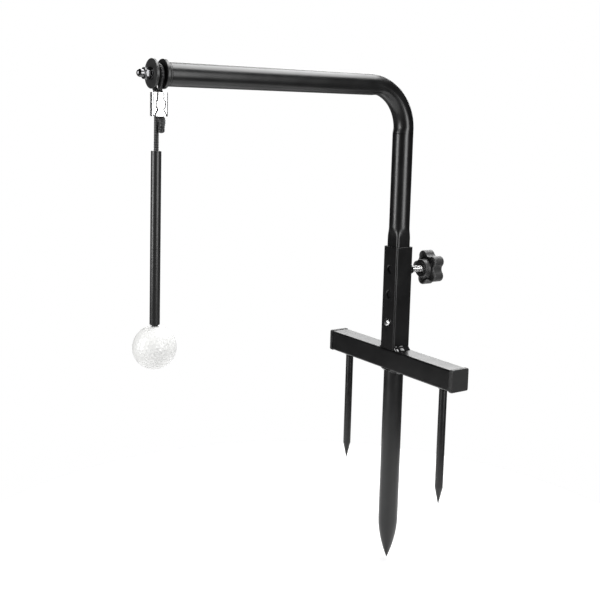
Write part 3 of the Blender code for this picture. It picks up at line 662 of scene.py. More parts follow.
def cord_rings(line, distances, end_round=False):
    """Rings round a line, with the braid's relief. Distances run along the cord from the junction."""
    last = len(line) - 1
    tangents = [(line[min(i + 1, last)] - line[max(i - 1, 0)]).normalized() for i in range(last + 1)]
    side = Vector((1.0, 0.0, 0.0))
    sides = []
    for tangent in reversed(tangents):
        side = (side - tangent * side.dot(tangent)).normalized()
        sides.insert(0, side)
    rings = []
    for centre, tangent, across, distance in zip(line, tangents, sides, distances):
        ahead = tangent.cross(across)
        shrink = 1.0
        relief = BRAID_DEPTH
        if end_round:
            left = (distance - distances[0]) / CORD_RADIUS
            if left < 1.0:
                shrink = math.sqrt(max(0.0025, 1 - (1 - left) ** 2))
            relief *= smoothstep(left, 0.2, 1.6)
        ring = []
        for turn in directions(CORD_SIDES):
            reach = CORD_RADIUS - relief * (1 - braid_height(turn, distance))
            ring.append(centre + shrink * reach * (math.cos(turn) * across + math.sin(turn) * ahead))
        rings.append(ring)
    return rings


def make_cord_loop():
    line = smooth_line(cord_loop_route(), FINE_STEP)
    travelled = [0.0]
    for start, end in zip(line, line[1:]):
        travelled.append(travelled[-1] + (end - start).length)
    distances = [value - travelled[-1] for value in travelled]
    rings = cord_rings(line, distances, end_round=True)
    tail = sum(1 for distance in travelled if distance < CLIP_LOW.z + 0.0010 - TAIL_END)
    rings[:tail] = [pressed_tail(ring, centre) for ring, centre in zip(rings[:tail], line)]
    show(skin("cord_loop_braid", rings), "cord_loop", "spool", CORD, sharp=180.0)


def make_cord_drop():
    """The cord from the clip's mouth down to the ferrule, with few rings where the sleeve hides it."""
    end = FERRULE_LOW.z
    hidden_from = SLEEVE_HIGH.z - 0.0040
    fine = round((JUNCTION - hidden_from) / FINE_STEP)
    heights = [JUNCTION + (hidden_from - JUNCTION) * share for share in shares(fine)]
    heights += [hidden_from + (end - hidden_from) * share for share in shares(60)[1:]]
    line = [Vector((0.0, CORD_Y, height)) for height in heights]
    distances = [JUNCTION - height for height in heights]
    mesh = skin("cord_drop_braid", cord_rings(line, distances))
    cord = show(mesh, "cord_drop", None, CORD, sharp=180.0)
    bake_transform(cord)


make_cord_loop()
make_cord_drop()


# Stake

SIDES = (("left", -1), ("right", 1))


def square_tube(name, length, chamfer=0.0003):
    """A square tube along Z from 0, with eased ends."""
    inner = SQUARE_TUBE - 2 * SQUARE_WALL
    inner_corner = SQUARE_CORNER / 3
    layers = [
        (SQUARE_TUBE, SQUARE_CORNER, chamfer),
        (SQUARE_TUBE, SQUARE_CORNER, length - chamfer),
        (SQUARE_TUBE - 2 * chamfer, SQUARE_CORNER - chamfer, length),
        (inner + chamfer, inner_corner, length),
        (inner, inner_corner, length - chamfer),
        (inner, inner_corner, chamfer),
        (inner + chamfer, inner_corner, 0.0),
        (SQUARE_TUBE - 2 * chamfer, SQUARE_CORNER - chamfer, 0.0),
    ]
    rings = [at_height(rounded_square(side, corner), height) for side, corner, height in layers]
    return skin(name, rings, around=True)


def drill_mesh(radius, ease, start, outside):
    """A drill on +Z that starts inside a wall and eases the hole's edge at the outer face."""
    deep = outside - start
    corners = [
        (0.0, 0.0, 0.0),
        (radius, 0.0, 0.0),
        (radius, deep - ease, 0.0),
        (radius + ease, deep + 0.00002, 0.0),
        (radius + ease, deep + 0.0020, 0.0),
        (0.0, deep + 0.0020, 0.0),
    ]
    return turned("drill", corners, 56, bored=False)


def along_crossbar(start, side=1):
    """Turns a shape modelled on +Z to lie along the crossbar's axis, towards one side."""
    return Matrix.Translation((start, 0.0, SQUARE_TUBE / 2)) @ Matrix.Rotation(side * math.pi / 2, 4, "Y")


def to_front(start, height):
    """Turns a shape modelled on +Z to lie along -Y, from that distance in front of the post's axis."""
    return Matrix.Translation((0.0, -start, height)) @ Matrix.Rotation(math.pi / 2, 4, "X")


def make_stake():
    crossbar = square_tube("crossbar_tube", CROSSBAR_HIGH.x - CROSSBAR_LOW.x)
    show(crossbar, "crossbar", "ground_stake", COAT, along_crossbar(CROSSBAR_LOW.x), 60.0, True)
    post = square_tube("post_tube", POST_HIGH.z - POST_LOW.z)
    post.transform(Matrix.Translation((0.0, 0.0, POST_LOW.z)))
    drills = []
    for height in HOLE_HEIGHTS:
        drill = drill_mesh(HOLE_RADIUS, HOLE_EASE, SQUARE_TUBE / 4, SQUARE_TUBE / 2)
        drill.transform(to_front(SQUARE_TUBE / 4, height))
        drills.append(drill)
    drill = drill_mesh(STUD_BORE, STUD_BORE_EASE, SQUARE_TUBE / 4, SQUARE_TUBE / 2)
    drill.transform(behind_post(SQUARE_TUBE / 4))
    drills.append(drill)
    show(drilled(post, drills), "post", "ground_stake", COAT, None, 35.0, True)


def make_end_cap(name, side):
    """A moulded cap: a soft-edged crown on the tube's end, and a plug inside it."""
    rim = CAP_HIGH.z - CAP_LOW.z
    start = CROSSBAR_HIGH.x + CLEARANCE
    thick = CAP_HIGH.x - start
    plug = SQUARE_TUBE - 2 * SQUARE_WALL - 2 * CLEARANCE
    soft = CAP_EDGE
    layers = [(plug - 2 * PLUG_TAPER, 0.0008, -PLUG_DEPTH)]
    layers += [(plug, 0.0010, PLUG_LEAD - PLUG_DEPTH), (plug, 0.0010, 0.0)]
    layers += [(rim - 0.0004, SQUARE_CORNER, 0.0), (rim, SQUARE_CORNER, 0.0002)]
    for share in shares(5):
        angle = math.pi / 2 * share
        inset = soft * (1 - math.cos(angle))
        layers.append((rim - 2 * inset, SQUARE_CORNER - inset * 0.5, thick - soft * (1 - math.sin(angle))))
    layers.append((rim - 2 * (soft + CAP_CROWN), SQUARE_CORNER * 0.6, thick - 0.00004))
    rings = [at_height(rounded_square(*layer[:2]), layer[2]) for layer in layers]
    mesh = skin(name + "_moulding", rings)
    show(mesh, name, "ground_stake", PLASTIC, along_crossbar(side * start, side), 50.0, True)


def make_spikes():
    radius = SPIKE_HIGH.x
    bore = radius - SPIKE_WALL
    nose = SPIKE_SHOULDER - SPIKE_LOW.z
    corners = [(0.0, SPIKE_SHOULDER - SPIKE_NOSE_BORE * nose, 0.0), (bore, SPIKE_SHOULDER, 0.0)]
    corners += [(bore, SPIKE_HIGH.z, 0.0), (radius, SPIKE_HIGH.z, 0.0)]
    for along in shares(36)[:-1]:
        reach = radius * (1 - along**SPIKE_NOSE_BLUNTNESS)
        corners.append((reach, SPIKE_SHOULDER - along * nose, 0.0))
    corners.append((0.0, SPIKE_LOW.z, 0.0))
    mesh = turned("centre_spike_tube", corners, 96, bored=False)
    show(mesh, "centre_spike", "ground_stake", COAT, sharp=60.0)
    for name, side in SIDES:
        corners = [
            (0.0, SIDE_SPIKE_HIGH.z, 0.0),
            (SIDE_SPIKE_RADIUS, SIDE_SPIKE_HIGH.z, 0.0002),
            (SIDE_SPIKE_RADIUS, SIDE_SPIKE_SHOULDER, 0.0030),
            (0.00025, SIDE_SPIKE_LOW.z + 0.0001, 0.0),
            (0.0, SIDE_SPIKE_LOW.z, 0.0),
        ]
        mesh = turned(f"side_spike_{name}_rod", corners, 64, bored=False, steps=6)
        place = Matrix.Translation((side * SIDE_SPIKE_X, 0.0, 0.0))
        show(mesh, f"side_spike_{name}", "ground_stake", COAT, place, 35.0)


def bead_reach(along, across, leg, seed):
    """A weld bead's size in one direction across it: overlapping ripples with some lumps."""
    bow = 0.0007 * math.sin(math.pi * across)
    ripple = abs(math.sin(math.pi * (along + bow) / WELD_RIPPLE))
    lumps = lump((along, across * 0.003, 0.0), 120.0, seed)
    return leg * (0.92 + 0.02 * ripple + 0.24 * lumps)


def hollow_bead(across, depth):
    """The share of a bead's leg that is left in one direction across it, as its face is hollow."""
    return 1 - depth * math.sin(math.pi * across) ** 0.8


def bead_taper(share, power):
    """A bead's size near its two ends, for a share of the way along it."""
    return 0.25 + 0.75 * math.sqrt(max(0.0, 1 - abs(2 * share - 1) ** power))


def make_post_weld(name, side):
    """The bead along one side of the post's foot, on top of the crossbar."""
    half = SQUARE_TUBE / 2 - 0.0010
    rings = []
    for along in shares(72):
        y = half * (2 * along - 1)
        ring = [Vector((0.0, y, 0.0))]
        for across in shares(14):
            angle = math.pi / 2 * across
            reach = bead_reach(y, across, POST_WELD_LEG, 3.0 + side)
            reach *= hollow_bead(across, 0.34) * bead_taper(along, 6)
            ring.append(Vector((reach * math.cos(angle), y, reach * math.sin(angle))))
        rings.append(ring)
    mesh = skin(name + "_bead", rings)
    if side < 0:
        mesh.transform(Matrix.Scale(-1, 4, (1.0, 0.0, 0.0)))
        mesh.flip_normals()
    gap = CLEARANCE / 2
    place = Matrix.Translation((side * (SQUARE_TUBE / 2 + gap), 0.0, SQUARE_TUBE + gap))
    show(mesh, name, "ground_stake", WELD, place, sharp=180.0)


def make_ring_weld(name, radius, x, leg, first, last, seed):
    """The bead round a spike's top, between two directions about the spike, or right round it."""
    around = last - first
    full = math.isclose(around, 2 * math.pi)
    along_bead = shares(96)
    rings = []
    for along in along_bead[:-1] if full else along_bead:
        turn = first + around * along
        travel = turn * radius
        size = leg
        if full:
            travel = WELD_RIPPLE * round(around * radius / WELD_RIPPLE) * along
        else:
            size *= bead_taper(along, 4) * (0.24 + 0.76 * abs(math.cos(turn)) ** 1.5)
        outward = Vector((math.cos(turn), math.sin(turn), 0.0))
        ring = [outward * radius]
        for across in shares(10):
            angle = math.pi / 2 * across
            bow = 0.0005 * math.sin(math.pi * across)
            ripple = abs(math.sin(math.pi * (travel + bow) / WELD_RIPPLE))
            lumps = lump((math.cos(turn), math.sin(turn), across * 0.4), 2.2, seed)
            reach = size * hollow_bead(across, 0.32) * (0.88 + 0.08 * ripple + 0.12 * lumps)
            corner = outward * (radius + reach * math.cos(angle))
            ring.append(corner - Vector((0.0, 0.0, reach * math.sin(angle))))
        rings.append(ring)
    mesh = skin(name + "_bead", rings, around=full)
    place = Matrix.Translation((x, 0.0, -CLEARANCE / 2))
    show(mesh, name, "ground_stake", WELD, place, sharp=180.0)


def make_welds():
    around_side = SIDE_SPIKE_RADIUS + CLEARANCE / 2
    around_centre = SPIKE_HIGH.x + CLEARANCE / 2
    for name, side in SIDES:
        make_post_weld("post_weld_" + name, side)
        x = side * SIDE_SPIKE_X
        make_ring_weld("spike_weld_" + name, around_side, x, SIDE_WELD_LEG, 0.0, 2 * math.pi, 5.0 + side)
        middle = 0.0 if side > 0 else math.pi
        ends = (middle - CENTRE_WELD_SPREAD, middle + CENTRE_WELD_SPREAD)
        make_ring_weld("centre_weld_" + name, around_centre, 0.0, CENTRE_WELD_LEG, *ends, 9.0 + side)


make_stake()
for side_name, side_sign in SIDES:
    make_end_cap("end_cap_" + side_name, side_sign)
make_spikes()
make_welds()


# Arm


def polar_square(angle, side, corner):
    """How far a rounded square's edge is from its centre, in that direction."""
    turn = abs((angle + math.pi / 4) % (math.pi / 2) - math.pi / 4)
    flat = side / 2
    reach = flat - corner
    if math.tan(turn) <= reach / flat:
        return flat / math.cos(turn)
    along = reach * (math.cos(turn) + math.sin(turn))
    return along + math.sqrt(max(0.0, along**2 - 2 * reach**2 + corner**2))


def arm_angles():
    """Directions round the arm's section, closer together at the square foot's corners."""
    angles = []
    for quarter in range(4):
        for t in shares(24)[:-1]:
            eased = t - 0.09 * math.sin(2 * math.pi * t)
            angles.append(quarter * math.pi / 2 + eased * math.pi / 2)
    return angles


def arm_stations():
    """(centre, the section's second axis, squareness, flattening) along the arm, from foot to free end."""
    back = Vector((0.0, 1.0, 0.0))
    heights = (ARM_LOW.z, 0.10, SQUARE_END - 0.002)
    stations = [(Vector((0.0, 0.0, height)), back, 1.0, 0.0) for height in heights]
    for along in shares(20):
        height = SQUARE_END + along * (ROUND_START - SQUARE_END)
        stations.append((Vector((0.0, 0.0, height)), back, 1.0 - smoothstep(along, 0.0, 1.0), 0.0))
    bend_start = ARM_AXIS_HEIGHT - BEND_RADIUS
    for along in shares(6)[1:]:
        height = ROUND_START + (bend_start - 0.004 - ROUND_START) * along
        stations.append((Vector((0.0, 0.0, height)), back, 0.0, 0.0))
    steps = 56
    lead = 4
    for step in range(-lead, steps + 1):
        along = step / steps
        angle = math.pi / 2 * max(along, 0.0)
        flattening = smoothstep(along, -0.06, 0.03) * (1 - smoothstep(along, 0.82, 1.0))
        straight = min(along, 0.0) * BEND_RADIUS * math.pi / 2
        y = -BEND_RADIUS * (1 - math.cos(angle))
        height = bend_start + BEND_RADIUS * math.sin(angle) + straight
        outer = Vector((0.0, math.cos(angle), math.sin(angle)))
        stations.append((Vector((0.0, y, height)), outer, 0.0, flattening))
    up = Vector((0.0, 0.0, 1.0))
    for along in shares(12)[1:]:
        y = (ARM_LOW.y + BEND_RADIUS) * along - BEND_RADIUS
        stations.append((Vector((0.0, y, ARM_AXIS_HEIGHT)), up, 0.0, 0.0))
    return stations


def arm_ring(station, inset):
    """One ring of points. The bending die leaves the tube a little flatter on the inside of the bend."""
    centre, outer, squareness, flattening = station
    ring = []
    for angle in arm_angles():
        square = polar_square(angle, ARM_SQUARE - 2 * inset, ARM_SQUARE_CORNER - inset * 0.6)
        reach = (1 - squareness) * (ARM_RADIUS - inset) + squareness * square
        across = reach * math.cos(angle)
        ahead = reach * math.sin(angle)
        if ahead < 0:
            ahead *= 1 - BEND_FLATTENING * flattening
            across *= 1 + BEND_SPREAD * flattening
        ring.append(centre + Vector((across, 0.0, 0.0)) + ahead * outer)
    return ring


def make_arm():
    stations = arm_stations()
    rings = [arm_ring(station, 0.0) for station in stations]
    rings += [arm_ring(station, ARM_WALL) for station in reversed(stations)]
    mesh = skin("bent_arm", rings, around=True)
    drill = drill_mesh(BUTTON_HOLE_RADIUS, BUTTON_HOLE_EASE, ARM_SQUARE / 4, ARM_SQUARE / 2)
    drill.transform(to_front(ARM_SQUARE / 4, HOLE_HEIGHTS[0]))
    show(drilled(mesh, [drill]), "arm_tube", "arm", COAT, sharp=50.0, flat_sides=True)


def make_snap_button():
    """The domed head of the button, standing out of the post's lowest hole."""
    radius = (BUTTON_HIGH.x - BUTTON_LOW.x) / 2
    length = BUTTON_HIGH.y - BUTTON_LOW.y
    corners = [(0.0, 0.0, 0.0), (radius, 0.0, 0.0003), (radius, length - BUTTON_CROWN, 0.0008)]
    corners += [(radius * BUTTON_CROWN_REACH, length - 0.0006, 0.0010), (0.0, length, 0.0)]
    mesh = turned("snap_button_head", corners, 64, bored=False, steps=6)
    place = to_front(-BUTTON_HIGH.y, HOLE_HEIGHTS[0])
    show(mesh, "snap_button", "snap_button", ZINC, place, sharp=50.0)


def make_snap_spring():
    """The V of spring strip: one leaf lies on the arm's back wall, and the other presses on the button."""
    half_width = (SPRING_HIGH.x - SPRING_LOW.x) / 2
    front = SPRING_LOW.y + SPRING_STRIP / 2
    back = SPRING_HIGH.y - SPRING_STRIP / 2
    bottom = SPRING_LOW.z + SPRING_STRIP / 2
    top = SPRING_HIGH.z
    leaf = [SPRING_KNEE + (top - SPRING_KNEE) * share for share in shares(4)]
    points = [Vector((0.0, front, height)) for height in reversed(leaf)]
    for share in shares(12):
        angle = math.pi + math.pi * share
        across = SPRING_BEND * math.cos(angle)
        points.append(Vector((0.0, across, bottom + SPRING_BEND * (1 + math.sin(angle)))))
    points += [Vector((0.0, back, height)) for height in leaf]
    line = smooth_line(points, 0.0006)
    rings = []
    for index, point in enumerate(line):
        ahead = (line[min(index + 1, len(line) - 1)] - line[max(index - 1, 0)]).normalized()
        out = Vector((1.0, 0.0, 0.0)).cross(ahead) * SPRING_STRIP / 2
        side = Vector((half_width, 0.0, 0.0))
        rings.append([point - side - out, point + side - out, point + side + out, point - side + out])
    spring = show(skin("spring_strip", rings), "snap_spring", None, SPRING, sharp=35.0)
    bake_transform(spring)


make_arm()
make_snap_button()
make_snap_spring()


# Spool


def ring_piece(name, node, body, look, edge=0.0003, recess=0.0):
    """A bored disc on the arm's axis with eased edges, and a shallow ring-shaped recess if it has one."""
    low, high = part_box(node)
    outer = (high.x - low.x) / 2
    length = high.y - low.y
    corners = [(AXLE_BORE, 0.0, 0.0001), (outer, 0.0, edge), (outer, length, edge)]
    if recess:
        for share, depth in ((0.82, 0.0), (0.80, recess), (0.50, recess), (0.48, 0.0)):
            corners.append((outer * share, length - depth, 0.0003))
    corners.append((AXLE_BORE, length, 0.0001))
    show(turned(name, corners, 112, steps=5), node, body, look, along_arm(-high.y), 45.0, True)


def hex_reach(turn, radius):
    """How far a hexagon's edge is from its centre in a direction, with its corners at that radius."""
    return radius * math.cos(math.pi / 6) / math.cos(turn % (math.pi / 3) - math.pi / 6)


def hex_solid(name, radius, length, bore):
    """A hexagon nut, its corners cut back by the chamfer cones at both ends."""
    angles = directions(96)
    rings = []
    for share in shares(20):
        height = length * share
        end = min(height, length - height)
        cone = radius * HEX_CHAMFER_REACH + end * HEX_CHAMFER_SLOPE
        rings.append([polar(angle, min(hex_reach(angle, radius), cone), height) for angle in angles])
    ease = HEX_BORE_EASE
    for reach, height in ((bore + ease, length), (bore, length - ease), (bore, ease), (bore + ease, 0.0)):
        rings.append([polar(angle, reach, height) for angle in angles])
    return skin(name, rings, around=True)


def make_spool():
    ring_piece("rear_washer_disc", "rear_washer", "arm", ZINC)
    for node in ("rear_flange", "front_flange"):
        ring_piece(node + "_disc", node, "spool", SPOOL_PLASTIC, edge=FLANGE_EDGE, recess=FLANGE_RECESS)
    ring_piece("spool_core", "spool_drum", "spool", SPOOL_PLASTIC)
    # The front washer, hex nut and cap nut take the darkened zinc, whose dark base colour is painted shade.
    ring_piece("front_washer_disc", "front_washer", "arm", SHADED_NUT_ZINC)
    radius = (HEX_NUT_HIGH.z - HEX_NUT_LOW.z) / 2
    nut = hex_solid("hex_nut_body", radius, HEX_NUT_HIGH.y - HEX_NUT_LOW.y, AXLE_BORE)
    place = along_arm(-HEX_NUT_HIGH.y) @ Matrix.Rotation(math.pi / 6, 4, "Z")
    show(nut, "hex_nut", "arm", SHADED_NUT_ZINC, place, 30.0, True)
    length = CAP_NUT_HIGH.y - CAP_NUT_LOW.y
    flange = (CAP_NUT_HIGH.x - CAP_NUT_LOW.x) / 2
    dome = CAP_NUT_DOME
    corners = [(0.0, 0.0, 0.0), (flange, 0.0, 0.0002), (flange, 0.0010, 0.0003), (dome, 0.0012, 0.0003)]
    for share in shares(14):
        angle = math.pi / 2 * share
        corners.append((dome * math.cos(angle), length - dome * (1 - math.sin(angle)), 0.0))
    cap = turned("cap_nut_dome", corners, 72, bored=False)
    show(cap, "cap_nut", "arm", SHADED_NUT_ZINC, along_arm(-CAP_NUT_HIGH.y))


make_spool()


# Rope clip


def clip_height(y, z):
    """How far a clip half's face stands out: a round boss, and a neck with a bell where the cord leaves."""
    past_flat = math.hypot(max(abs(y) - 0.0028, 0.0), max(abs(z) - 0.0018, 0.0))
    boss = CLIP_BOSS_HEIGHT * (1 - smoothstep(past_flat, 0.0010, 0.0028))
    mouth = smoothstep(-z, 0.0045, 0.0105)
    reach = CLIP_NECK_REACH + CLIP_BELL_REACH * mouth
    neck = CLIP_NECK_HEIGHT + CLIP_BELL_HEIGHT * mouth
    return max(boss, neck * (1 - smoothstep(abs(y), reach - 0.0008, reach + 0.0010)))


def make_clip_half(name, side):
    """One pressed half: a face with a boss and a neck, and two edges turned in round a soft bend."""
    middle_y = CORD_Y + STRAND_GAP / 2
    middle_z = (CLIP_LOW.z + CLIP_HIGH.z) / 2
    half_width = (CLIP_HIGH.y - CLIP_LOW.y) / 2 - CLIP_SHEET / 2
    half_height = (CLIP_HIGH.z - CLIP_LOW.z) / 2
    face = CORD_RADIUS + CLEARANCE + CLIP_SHEET / 2
    reach = half_width - CLIP_BEND
    edge = CLEARANCE / 2
    section = [(-half_width, edge + (face - CLIP_BEND - edge) * share) for share in shares(4)[:-1]]
    for share in shares(8):
        angle = math.pi - math.pi / 2 * share
        section.append((CLIP_BEND * math.cos(angle) - reach, face - CLIP_BEND * (1 - math.sin(angle))))
    turned_in = list(section)
    section += [(reach * (2 * share - 1), face) for share in shares(56)[1:-1]]
    section += [(-y, x) for y, x in reversed(turned_in)]
    rows = 84
    points = []
    for row in range(rows + 1):
        z = half_height * (2 * row / rows - 1)
        for y, x in section:
            lift = clip_height(y, z) if x >= face - 1e-7 else 0.0
            points.append((side * (x + lift), middle_y + y, middle_z + z))
    count = len(section)
    faces = []
    for row in range(rows):
        for column in range(count - 1):
            corner = row * count + column
            quad = (corner, corner + 1, corner + count + 1, corner + count)
            faces.append(quad if side > 0 else tuple(reversed(quad)))
    mesh = to_mesh(name + "_pressing", points, faces)
    half = show(mesh, name, "spool", CLIP, sharp=60.0)
    solid = half.modifiers.new("sheet", "SOLIDIFY")
    solid.thickness = CLIP_SHEET
    solid.offset = 0.0
    ease = half.modifiers.new("eased edges", "BEVEL")
    ease.width = CLIP_EDGE
    ease.segments = 2
    ease.limit_method = "ANGLE"
    ease.angle_limit = math.radians(60)


make_clip_half("clip_near", 1)
make_clip_half("clip_far", -1)


# Sleeve and ball


def make_sleeve():
    outer = (SLEEVE_HIGH.x - SLEEVE_LOW.x) / 2
    corners = [
        (SLEEVE_BORE, SLEEVE_LOW.z, 0.0003),
        (outer, SLEEVE_LOW.z, 0.0006),
        (outer, SLEEVE_HIGH.z, 0.0006),
        (SLEEVE_BORE, SLEEVE_HIGH.z, 0.0003),
    ]
    mesh = turned("sleeve_tube", corners, 72, steps=5)
    place = Matrix.Translation((0.0, CORD_Y, 0.0))
    show(mesh, "cord_sleeve", "ball_tether", SLEEVE, place, sharp=60.0)


DIMPLE_RADIUS = 0.00186
DIMPLE_DEPTH = 0.00023
DIMPLE_RIM = 1.10
DIMPLE_RIM_WIDTH = 0.22
DIMPLE_RIM_SHARE = 0.14
DIMPLE_FREQUENCY = 6


def dimple_directions():
    """Even directions over a ball: an icosahedron whose edges are each cut into equal steps."""
    bm = bmesh.new()
    bmesh.ops.create_icosphere(bm, subdivisions=1, radius=1.0)
    found = {}
    for face in bm.faces:
        first, second, third = (vert.co for vert in face.verts)
        for i in range(DIMPLE_FREQUENCY + 1):
            for j in range(DIMPLE_FREQUENCY + 1 - i):
                k = DIMPLE_FREQUENCY - i - j
                direction = (first * i + second * j + third * k).normalized()
                found[tuple(round(value, 4) for value in direction)] = direction
    bm.free()
    tilt = Matrix.Rotation(math.radians(17), 3, "X") @ Matrix.Rotation(math.radians(9), 3, "Y")
    return np.array([tilt @ direction for direction in found.values()])


def make_ball():
    radius = (BALL_HIGH.x - BALL_LOW.x) / 2
    bm = bmesh.new()
    bmesh.ops.create_icosphere(bm, subdivisions=8, radius=radius)
    mesh = bpy.data.meshes.new("dimpled_ball")
    bm.to_mesh(mesh)
    bm.free()
    points = np.zeros(len(mesh.vertices) * 3, np.float32)
    mesh.vertices.foreach_get("co", points)
    points = points.reshape(-1, 3).astype(float)
    outward = points / np.linalg.norm(points, axis=1)[:, None]
    nearest = np.zeros(len(outward))
    centres = dimple_directions()
    block = 20000
    for start in range(0, len(outward), block):
        nearest[start : start + block] = (outward[start : start + block] @ centres.T).max(axis=1)
    away = np.arccos(np.clip(nearest, -1.0, 1.0)) * radius / DIMPLE_RADIUS
    bowl = np.clip(1 - away**2, 0.0, 1.0)
    shoulder = np.clip((DIMPLE_RIM - away) / DIMPLE_RIM_WIDTH, 0.0, 1.0)
    rim = shoulder * shoulder * (3 - 2 * shoulder)
    drop = DIMPLE_DEPTH * ((1 - DIMPLE_RIM_SHARE) * bowl + DIMPLE_RIM_SHARE * rim)
    points = outward * (radius - drop)[:, None]
    mesh.vertices.foreach_set("co", points.astype(np.float32).ravel())
    bore_ball(mesh, radius)
    place = Matrix.Translation((0.0, CORD_Y, BALL_LOW.z + radius))
    show(mesh, "golf_ball", "ball_tether", BALL, place, sharp=50.0)


def bore_ball(mesh, radius):
    """Opens a blind bore down from the ball's top for the cord and its ferrule."""
    bm = bmesh.new()
    bm.from_mesh(mesh)
    inside = [v for v in bm.verts if v.co.z > 0 and v.co.xy.length < BALL_BORE]
    bmesh.ops.delete(bm, geom=inside, context="VERTS")
    rim = [edge for edge in bm.edges if edge.is_boundary]
    for vert in {vert for edge in rim for vert in edge.verts}:
        across = vert.co.xy.normalized() * BALL_BORE
        vert.co = Vector((across.x, across.y, math.sqrt(radius**2 - BALL_BORE**2)))
    wall = bmesh.ops.extrude_edge_only(bm, edges=rim)["geom"]
    floor = FERRULE_LOW.z - FERRULE_ROOM - (BALL_LOW.z + radius)
    for vert in (item for item in wall if isinstance(item, bmesh.types.BMVert)):
        vert.co.z = floor
    low_edges = [item for item in wall if isinstance(item, bmesh.types.BMEdge) and item.is_boundary]
    bmesh.ops.contextual_create(bm, geom=low_edges)
    bmesh.ops.recalc_face_normals(bm, faces=bm.faces)
    bm.to_mesh(mesh)
    bm.free()


make_sleeve()
make_ball()


# Clamp


def star_outline(inset=0.0, arc_steps=16):
    """Round lobes joined by hollow arcs that touch them smoothly."""
    lobe = LOBE_RADIUS - inset
    valley = VALLEY_RADIUS - inset
    spread = math.pi / LOBES
    swing = LOBE_CENTRE * math.cos(spread)
    hollow = (valley**2 + LOBE_CENTRE**2 - 2 * valley * swing - lobe**2) / (2 * (lobe - valley + swing))
    hollow_centre = Vector((math.cos(spread), math.sin(spread))) * (valley + hollow)
    lean = hollow_centre - Vector((LOBE_CENTRE, 0.0))
    edge = math.atan2(lean.y, lean.x)
    start = edge + math.pi
    end = 2 * spread + math.pi - edge
    points = []
    for number in range(LOBES):
        turn = Matrix.Rotation(math.pi + 2 * spread * number, 2)
        for share in shares(arc_steps):
            angle = -edge + 2 * edge * share
            out = lobe * Vector((math.cos(angle), math.sin(angle)))
            points.append(turn @ (Vector((LOBE_CENTRE, 0.0)) + out))
        for share in shares(arc_steps)[1:-1]:
            angle = start + (end - start) * share
            out = hollow * Vector((math.cos(angle), math.sin(angle)))
            points.append(turn @ (hollow_centre + out))
    return points


def towards_circle(outline, radius, share):
    """Draws an outline in towards a circle by a share of the way."""
    return [p.lerp(p.normalized() * radius, share) for p in outline]


def make_knob():
    """The star knob: soft lobes, a dished near face, a collar round the stud, and a slightly domed back."""
    near = KNOB_NEAR - KNOB_LOW.y
    far = KNOB_HIGH.y - KNOB_LOW.y
    back = far - KNOB_BACK_RISE
    soft = KNOB_EDGE
    collar = KNOB_BOSS_RADIUS
    bore = STUD_BORE
    circle = [p.normalized() for p in star_outline()]
    quarter = [math.pi / 2 * share for share in shares(6)]
    circles = [(bore, KNOB_BORE_DEPTH), (bore, KNOB_COUNTERBORE), (bore + 0.0010, KNOB_COUNTERBORE)]
    circles += [(bore + 0.0011, 0.0001), (bore + 0.0014, 0.0), (collar - KNOB_COLLAR_EDGE, 0.0)]
    for share in shares(4)[1:]:
        angle = math.pi / 2 * share
        radius = collar - KNOB_COLLAR_EDGE * (1 - math.sin(angle))
        circles.append((radius, KNOB_COLLAR_EDGE * (1 - math.cos(angle))))
    circles += [(collar, near - 0.0008), (collar + 0.0008, near)]
    rings = [at_height([p * radius for p in circle], height) for radius, height in circles]
    for share in (0.35, 0.7):
        ring = towards_circle(star_outline(soft + 0.0010), collar + 0.0008, 1 - share)
        rings.append(at_height(ring, near + 0.0004))
    stars = [(soft + 0.0008, near + 0.0003)]
    stars += [(soft * (1 - math.sin(angle)), near + soft * (1 - math.cos(angle))) for angle in quarter]
    stars += [(soft * (1 - math.cos(angle)), back - soft * (1 - math.sin(angle))) for angle in quarter]
    rings += [at_height(star_outline(inset), height) for inset, height in stars]
    for share in (0.30, 0.60, 0.85):
        ring = [p * (1 - share) for p in star_outline(soft)]
        rings.append(at_height(ring, back + KNOB_BACK_RISE * math.sin(share * math.pi / 2)))
    mesh = skin("star_knob_moulding", rings)
    show(mesh, "star_knob", "star_knob", KNOB_PLASTIC, behind_post(KNOB_LOW.y), 50.0, True)


def make_stud():
    """The clamp stud with its metric thread, run out into a plain lead at the post's end."""
    radius = (STUD_HIGH.x - STUD_LOW.x) / 2
    length = STUD_HIGH.y - STUD_LOW.y
    rings = []
    for share in shares(round(length * 10 / THREAD_PITCH)):
        height = length * share
        lead = STUD_LEAD * (1 - smoothstep(height, 0.0, 0.0010))
        ring = []
        for turn in directions(56):
            phase = (height / THREAD_PITCH - turn / (2 * math.pi)) % 1.0
            cut = THREAD_DEPTH * smoothstep(abs(2 * phase - 1), *THREAD_FLANKS)
            ring.append(polar(turn, radius - max(cut, lead), height))
        rings.append(ring)
    mesh = skin("threaded_stud", rings)
    show(mesh, "clamp_stud", "clamp_stud", ZINC, behind_post(STUD_LOW.y), 35.0)


def make_weld_nut():
    radius = (WELD_NUT_HIGH.z - WELD_NUT_LOW.z) / 2
    nut = hex_solid("post_nut_body", radius, WELD_NUT_HIGH.y - WELD_NUT_LOW.y, STUD_BORE)
    place = behind_post(WELD_NUT_LOW.y) @ Matrix.Rotation(math.pi / 6, 4, "Z")
    show(nut, "weld_nut", "ground_stake", COAT, place, 30.0, True)


make_knob()
make_stud()
make_weld_nut()


# CAD nodes that keep their shape

for kept_node, kept_look in (("arm_end_plug", PLASTIC), ("axle_bolt", ZINC), ("cord_ferrule", BRASS)):
    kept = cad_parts[kept_node]
    kept.data.materials.clear()
    kept.data.materials.append(kept_look[0])


# Stage and lights

FLOOR_RADIUS = 0.45
FLOOR_MIDDLE = -0.1
FLOOR_GAP = 0.0005
ROOM_GLOW = (-0.14, -0.32, 0.04, 0.18)


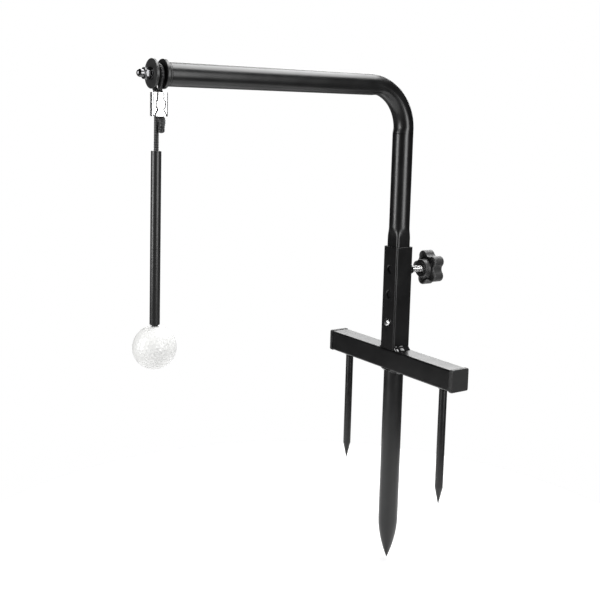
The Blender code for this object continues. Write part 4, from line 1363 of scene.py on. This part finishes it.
def make_floor():
    """A round pale floor under the longest spike's tip."""
    bm = bmesh.new()
    bmesh.ops.create_circle(bm, cap_ends=True, segments=128, radius=FLOOR_RADIUS)
    mesh = bpy.data.meshes.new("floor")
    bm.to_mesh(mesh)
    bm.free()
    floor = new_object("floor", mesh)
    floor.location = (0.0, FLOOR_MIDDLE, SPIKE_LOW.z - FLOOR_GAP)
    pale = Nodes("floor").finish(
        Base_Color=(0.65, 0.65, 0.65),
        Roughness=0.9,
        Emission_Color=(1.0, 1.0, 1.0),
        Emission_Strength=0.30,
    )
    mesh.materials.append(pale)


def make_world():
    """White where the camera looks past the floor. Elsewhere a dim room, lighter towards its floor."""
    world = bpy.data.worlds.new("studio")
    bpy.context.scene.world = world
    world.use_nodes = True
    tree = world.node_tree
    tree.nodes.clear()
    kinds = ("LightPath", "TexCoord", "SeparateXYZ", "MapRange", "MixShader", "OutputWorld")
    path, direction, height, glow, mix, out = (tree.nodes.new("ShaderNode" + kind) for kind in kinds)
    white, room = (tree.nodes.new("ShaderNodeBackground") for _ in range(2))
    for background in (white, room):
        background.inputs["Color"].default_value = (1.0, 1.0, 1.0, 1.0)
    for socket, number in zip(glow.inputs[1:5], ROOM_GLOW):
        socket.default_value = number
    for output, socket in (
        (direction.outputs["Generated"], height.inputs[0]),
        (height.outputs["Z"], glow.inputs[0]),
        (glow.outputs[0], room.inputs["Strength"]),
        (path.outputs["Is Camera Ray"], mix.inputs[0]),
        (room.outputs[0], mix.inputs[1]),
        (white.outputs[0], mix.inputs[2]),
        (mix.outputs[0], out.inputs["Surface"]),
    ):
        tree.links.new(output, socket)


def softbox(name, place, target, width, height, radiance):
    """A soft rectangular light that shows in reflections and not to the camera."""
    data = bpy.data.lights.new(name, "AREA")
    data.shape = "RECTANGLE"
    data.size = width
    data.size_y = height
    data.energy = radiance * math.pi * width * height
    light = new_object(name, data)
    light.location = place
    away = Vector(target) - Vector(place)
    light.rotation_euler = away.to_track_quat("-Z", "Y").to_euler()
    light.visible_camera = False


def make_lights():
    middle = (0.0, -0.12, 0.15)
    softbox("left_box", (-0.15, -1.45, 0.40), middle, 0.50, 1.10, 11.0)
    softbox("right_box", (1.35, 0.05, 0.40), middle, 0.66, 1.10, 7.2)
    softbox("top_box", (0.0, 0.40, 1.45), middle, 1.3, 0.9, 9.0)
    softbox("back_box", (-1.5, 1.05, 0.95), middle, 2.2, 1.0, 4.3)


make_floor()
make_world()
make_lights()
bpy.context.scene.view_settings.view_transform = "Standard"
